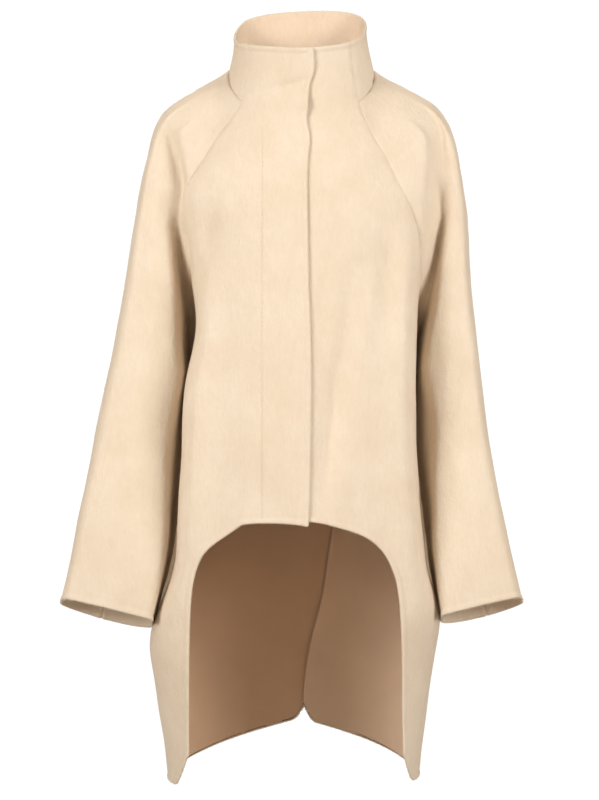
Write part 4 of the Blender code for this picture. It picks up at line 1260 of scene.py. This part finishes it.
def lining_material(name, colour):
    """Brown twill lining: fine slanted lines, a little mottling and a dull gloss."""
    material, tree, shader = new_material(name, colour, 0.62)
    place = place_of(tree)
    wave = add_node(tree, "ShaderNodeTexWave", {"Scale": 330.0, "Distortion": 0.6}, {"Vector": place})
    wave.bands_direction = "DIAGONAL"
    mottle = noise(tree, place, 9.0, 3.0, 0.3, 0.7)
    darker = tuple(0.9 * c for c in colour)
    tone = blended(tree, mottle, darker, colour)
    tone = blended(tree, wave.outputs["Fac"], blended(tree, 0.10, tone, TWILL_SHADE), tone)
    tree.links.new(tone, shader.inputs["Base Color"])
    tree.links.new(bump(tree, wave.outputs["Fac"], 0.15, 0.0003), shader.inputs["Normal"])
    shader.inputs["Specular IOR Level"].default_value = 0.25
    shader.inputs["Sheen Weight"].default_value = 0.08
    return material


def add_area(name, place, target, size, power):
    light = bpy.data.lights.new(name, "AREA")
    light.shape = "RECTANGLE"
    light.size, light.size_y = size
    light.energy = power
    light.spread = math.radians(LAMP_SPREAD)
    lamp = bpy.data.objects.new(name, light)
    lamp.location = place
    lamp.rotation_euler = (Vector(target) - Vector(place)).to_track_quat("-Z", "Y").to_euler()
    bpy.context.scene.collection.objects.link(lamp)


def build_stage():
    """A pale floor below the coat, a surround that is white behind it, soft lamps and the camera."""
    world = bpy.context.scene.world or bpy.data.worlds.new("surround")
    bpy.context.scene.world = world
    world.use_nodes = True
    tree = world.node_tree
    background = tree.nodes["Background"]
    direction = tree.nodes.new("ShaderNodeTexCoord")
    parts = add_node(tree, "ShaderNodeSeparateXYZ", {}, {"Vector": direction.outputs["Generated"]})
    wall = tree.nodes.new("ShaderNodeMapRange")
    wall.interpolation_type = "SMOOTHSTEP"
    wall.inputs["From Min"].default_value, wall.inputs["From Max"].default_value = WALL_CONE
    tree.links.new(parts.outputs["Y"], wall.inputs["Value"])
    light = blended(tree, wall.outputs["Result"], SURROUND, (WALL, WALL, WALL))
    tree.links.new(light, background.inputs["Color"])
    place = (0.0, 0.0, FLOOR_LEVEL)
    bpy.ops.mesh.primitive_circle_add(vertices=96, radius=FLOOR_RADIUS, fill_type="NGON", location=place)
    floor = bpy.context.object
    floor.name = "floor"
    pale, _tree, _shader = new_material("pale_floor", (0.82, 0.82, 0.81), 0.9)
    floor.data.materials.append(pale)
    for lamp in LAMPS:
        add_area(*lamp)
    bpy.context.scene.view_settings.view_transform = "Standard"
    bpy.context.scene.view_settings.look = "None"
    camera = bpy.data.cameras.new("camera")
    camera.lens = CAMERA_LENS
    camera.sensor_width = CAMERA_SENSOR
    eye = bpy.data.objects.new("camera", camera)
    eye.location = CAMERA_PLACE
    eye.rotation_euler = (math.radians(90), 0, 0)
    bpy.context.scene.collection.objects.link(eye)
    bpy.context.scene.camera = eye


def declare(piece, node, extras=()):
    """The piece stands for its node, which is hidden, and it joins the root body with the fuzz and stitches
    on it.
    """
    for part in (piece, *extras):
        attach(part, "root")
    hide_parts(node)


def main():
    for old in list(bpy.data.objects):
        bpy.data.objects.remove(old)
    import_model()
    build_stage()
    felt = wool_material("wool_felt", (0.768, 0.634, 0.484), (0.812, 0.688, 0.540))
    # The inner faces use the same wool painted lighter and warmer than the outer felt, and the cuffs' inside
    # lighter still. This is painted light that makes up for the shade inside the coat and sleeves.
    inside = wool_material("wool_inside", (0.845, 0.660, 0.480), (0.880, 0.705, 0.535))
    cuff_inside_painted_light = wool_material("wool_cuff_inside", (0.930, 0.755, 0.570), (0.955, 0.800, 0.620))
    fibre = thread_material("wool_fibre", (0.80, 0.67, 0.51), 0.9)
    thread = thread_material("thread", (0.74, 0.60, 0.44), 0.7)
    # Both lining halves are one brown twill. The right half's colour is painted darker than the left half's
    # as painted shade, for the side of the centre-back pleat that lies in shade.
    linings_lit_and_shaded = {
        "right": lining_material("lining_right", (0.64, 0.42, 0.265)),
        "left": lining_material("lining_left", (0.72, 0.52, 0.36)),
    }
    shares = row_shares()
    panels = {"collar": collar_panel()}
    for side in SIGN:
        panels[f"front_{side}"] = front_panel(side, shares)
        panels[f"back_{side}"] = back_panel(side, shares)
        for half, panel in sleeve_panels(Sleeve(side), shares).items():
            panels[f"sleeve_{side}_{half}"] = panel
    share_seam_directions(list(panels.values()))
    for seed, (node, panel) in enumerate(panels.items()):
        kind = node.split("_")[0]
        wall = make_wall(f"wool_{node}", panel, [felt, cuff_inside_painted_light if kind == "sleeve" else inside])
        extras = [edge_fuzz(f"fuzz_{node}", panel, kind, fibre, seed)]
        if node == "front_right":
            extras.append(fly_stitches("fly_stitches", thread))
        declare(wall, node, extras)
    for side in SIGN:
        wall = make_wall(f"cloth_lining_{side}", lining_panel(side), [linings_lit_and_shaded[side]], LINING, no_relief)
        declare(wall, f"lining_{side}")


main()
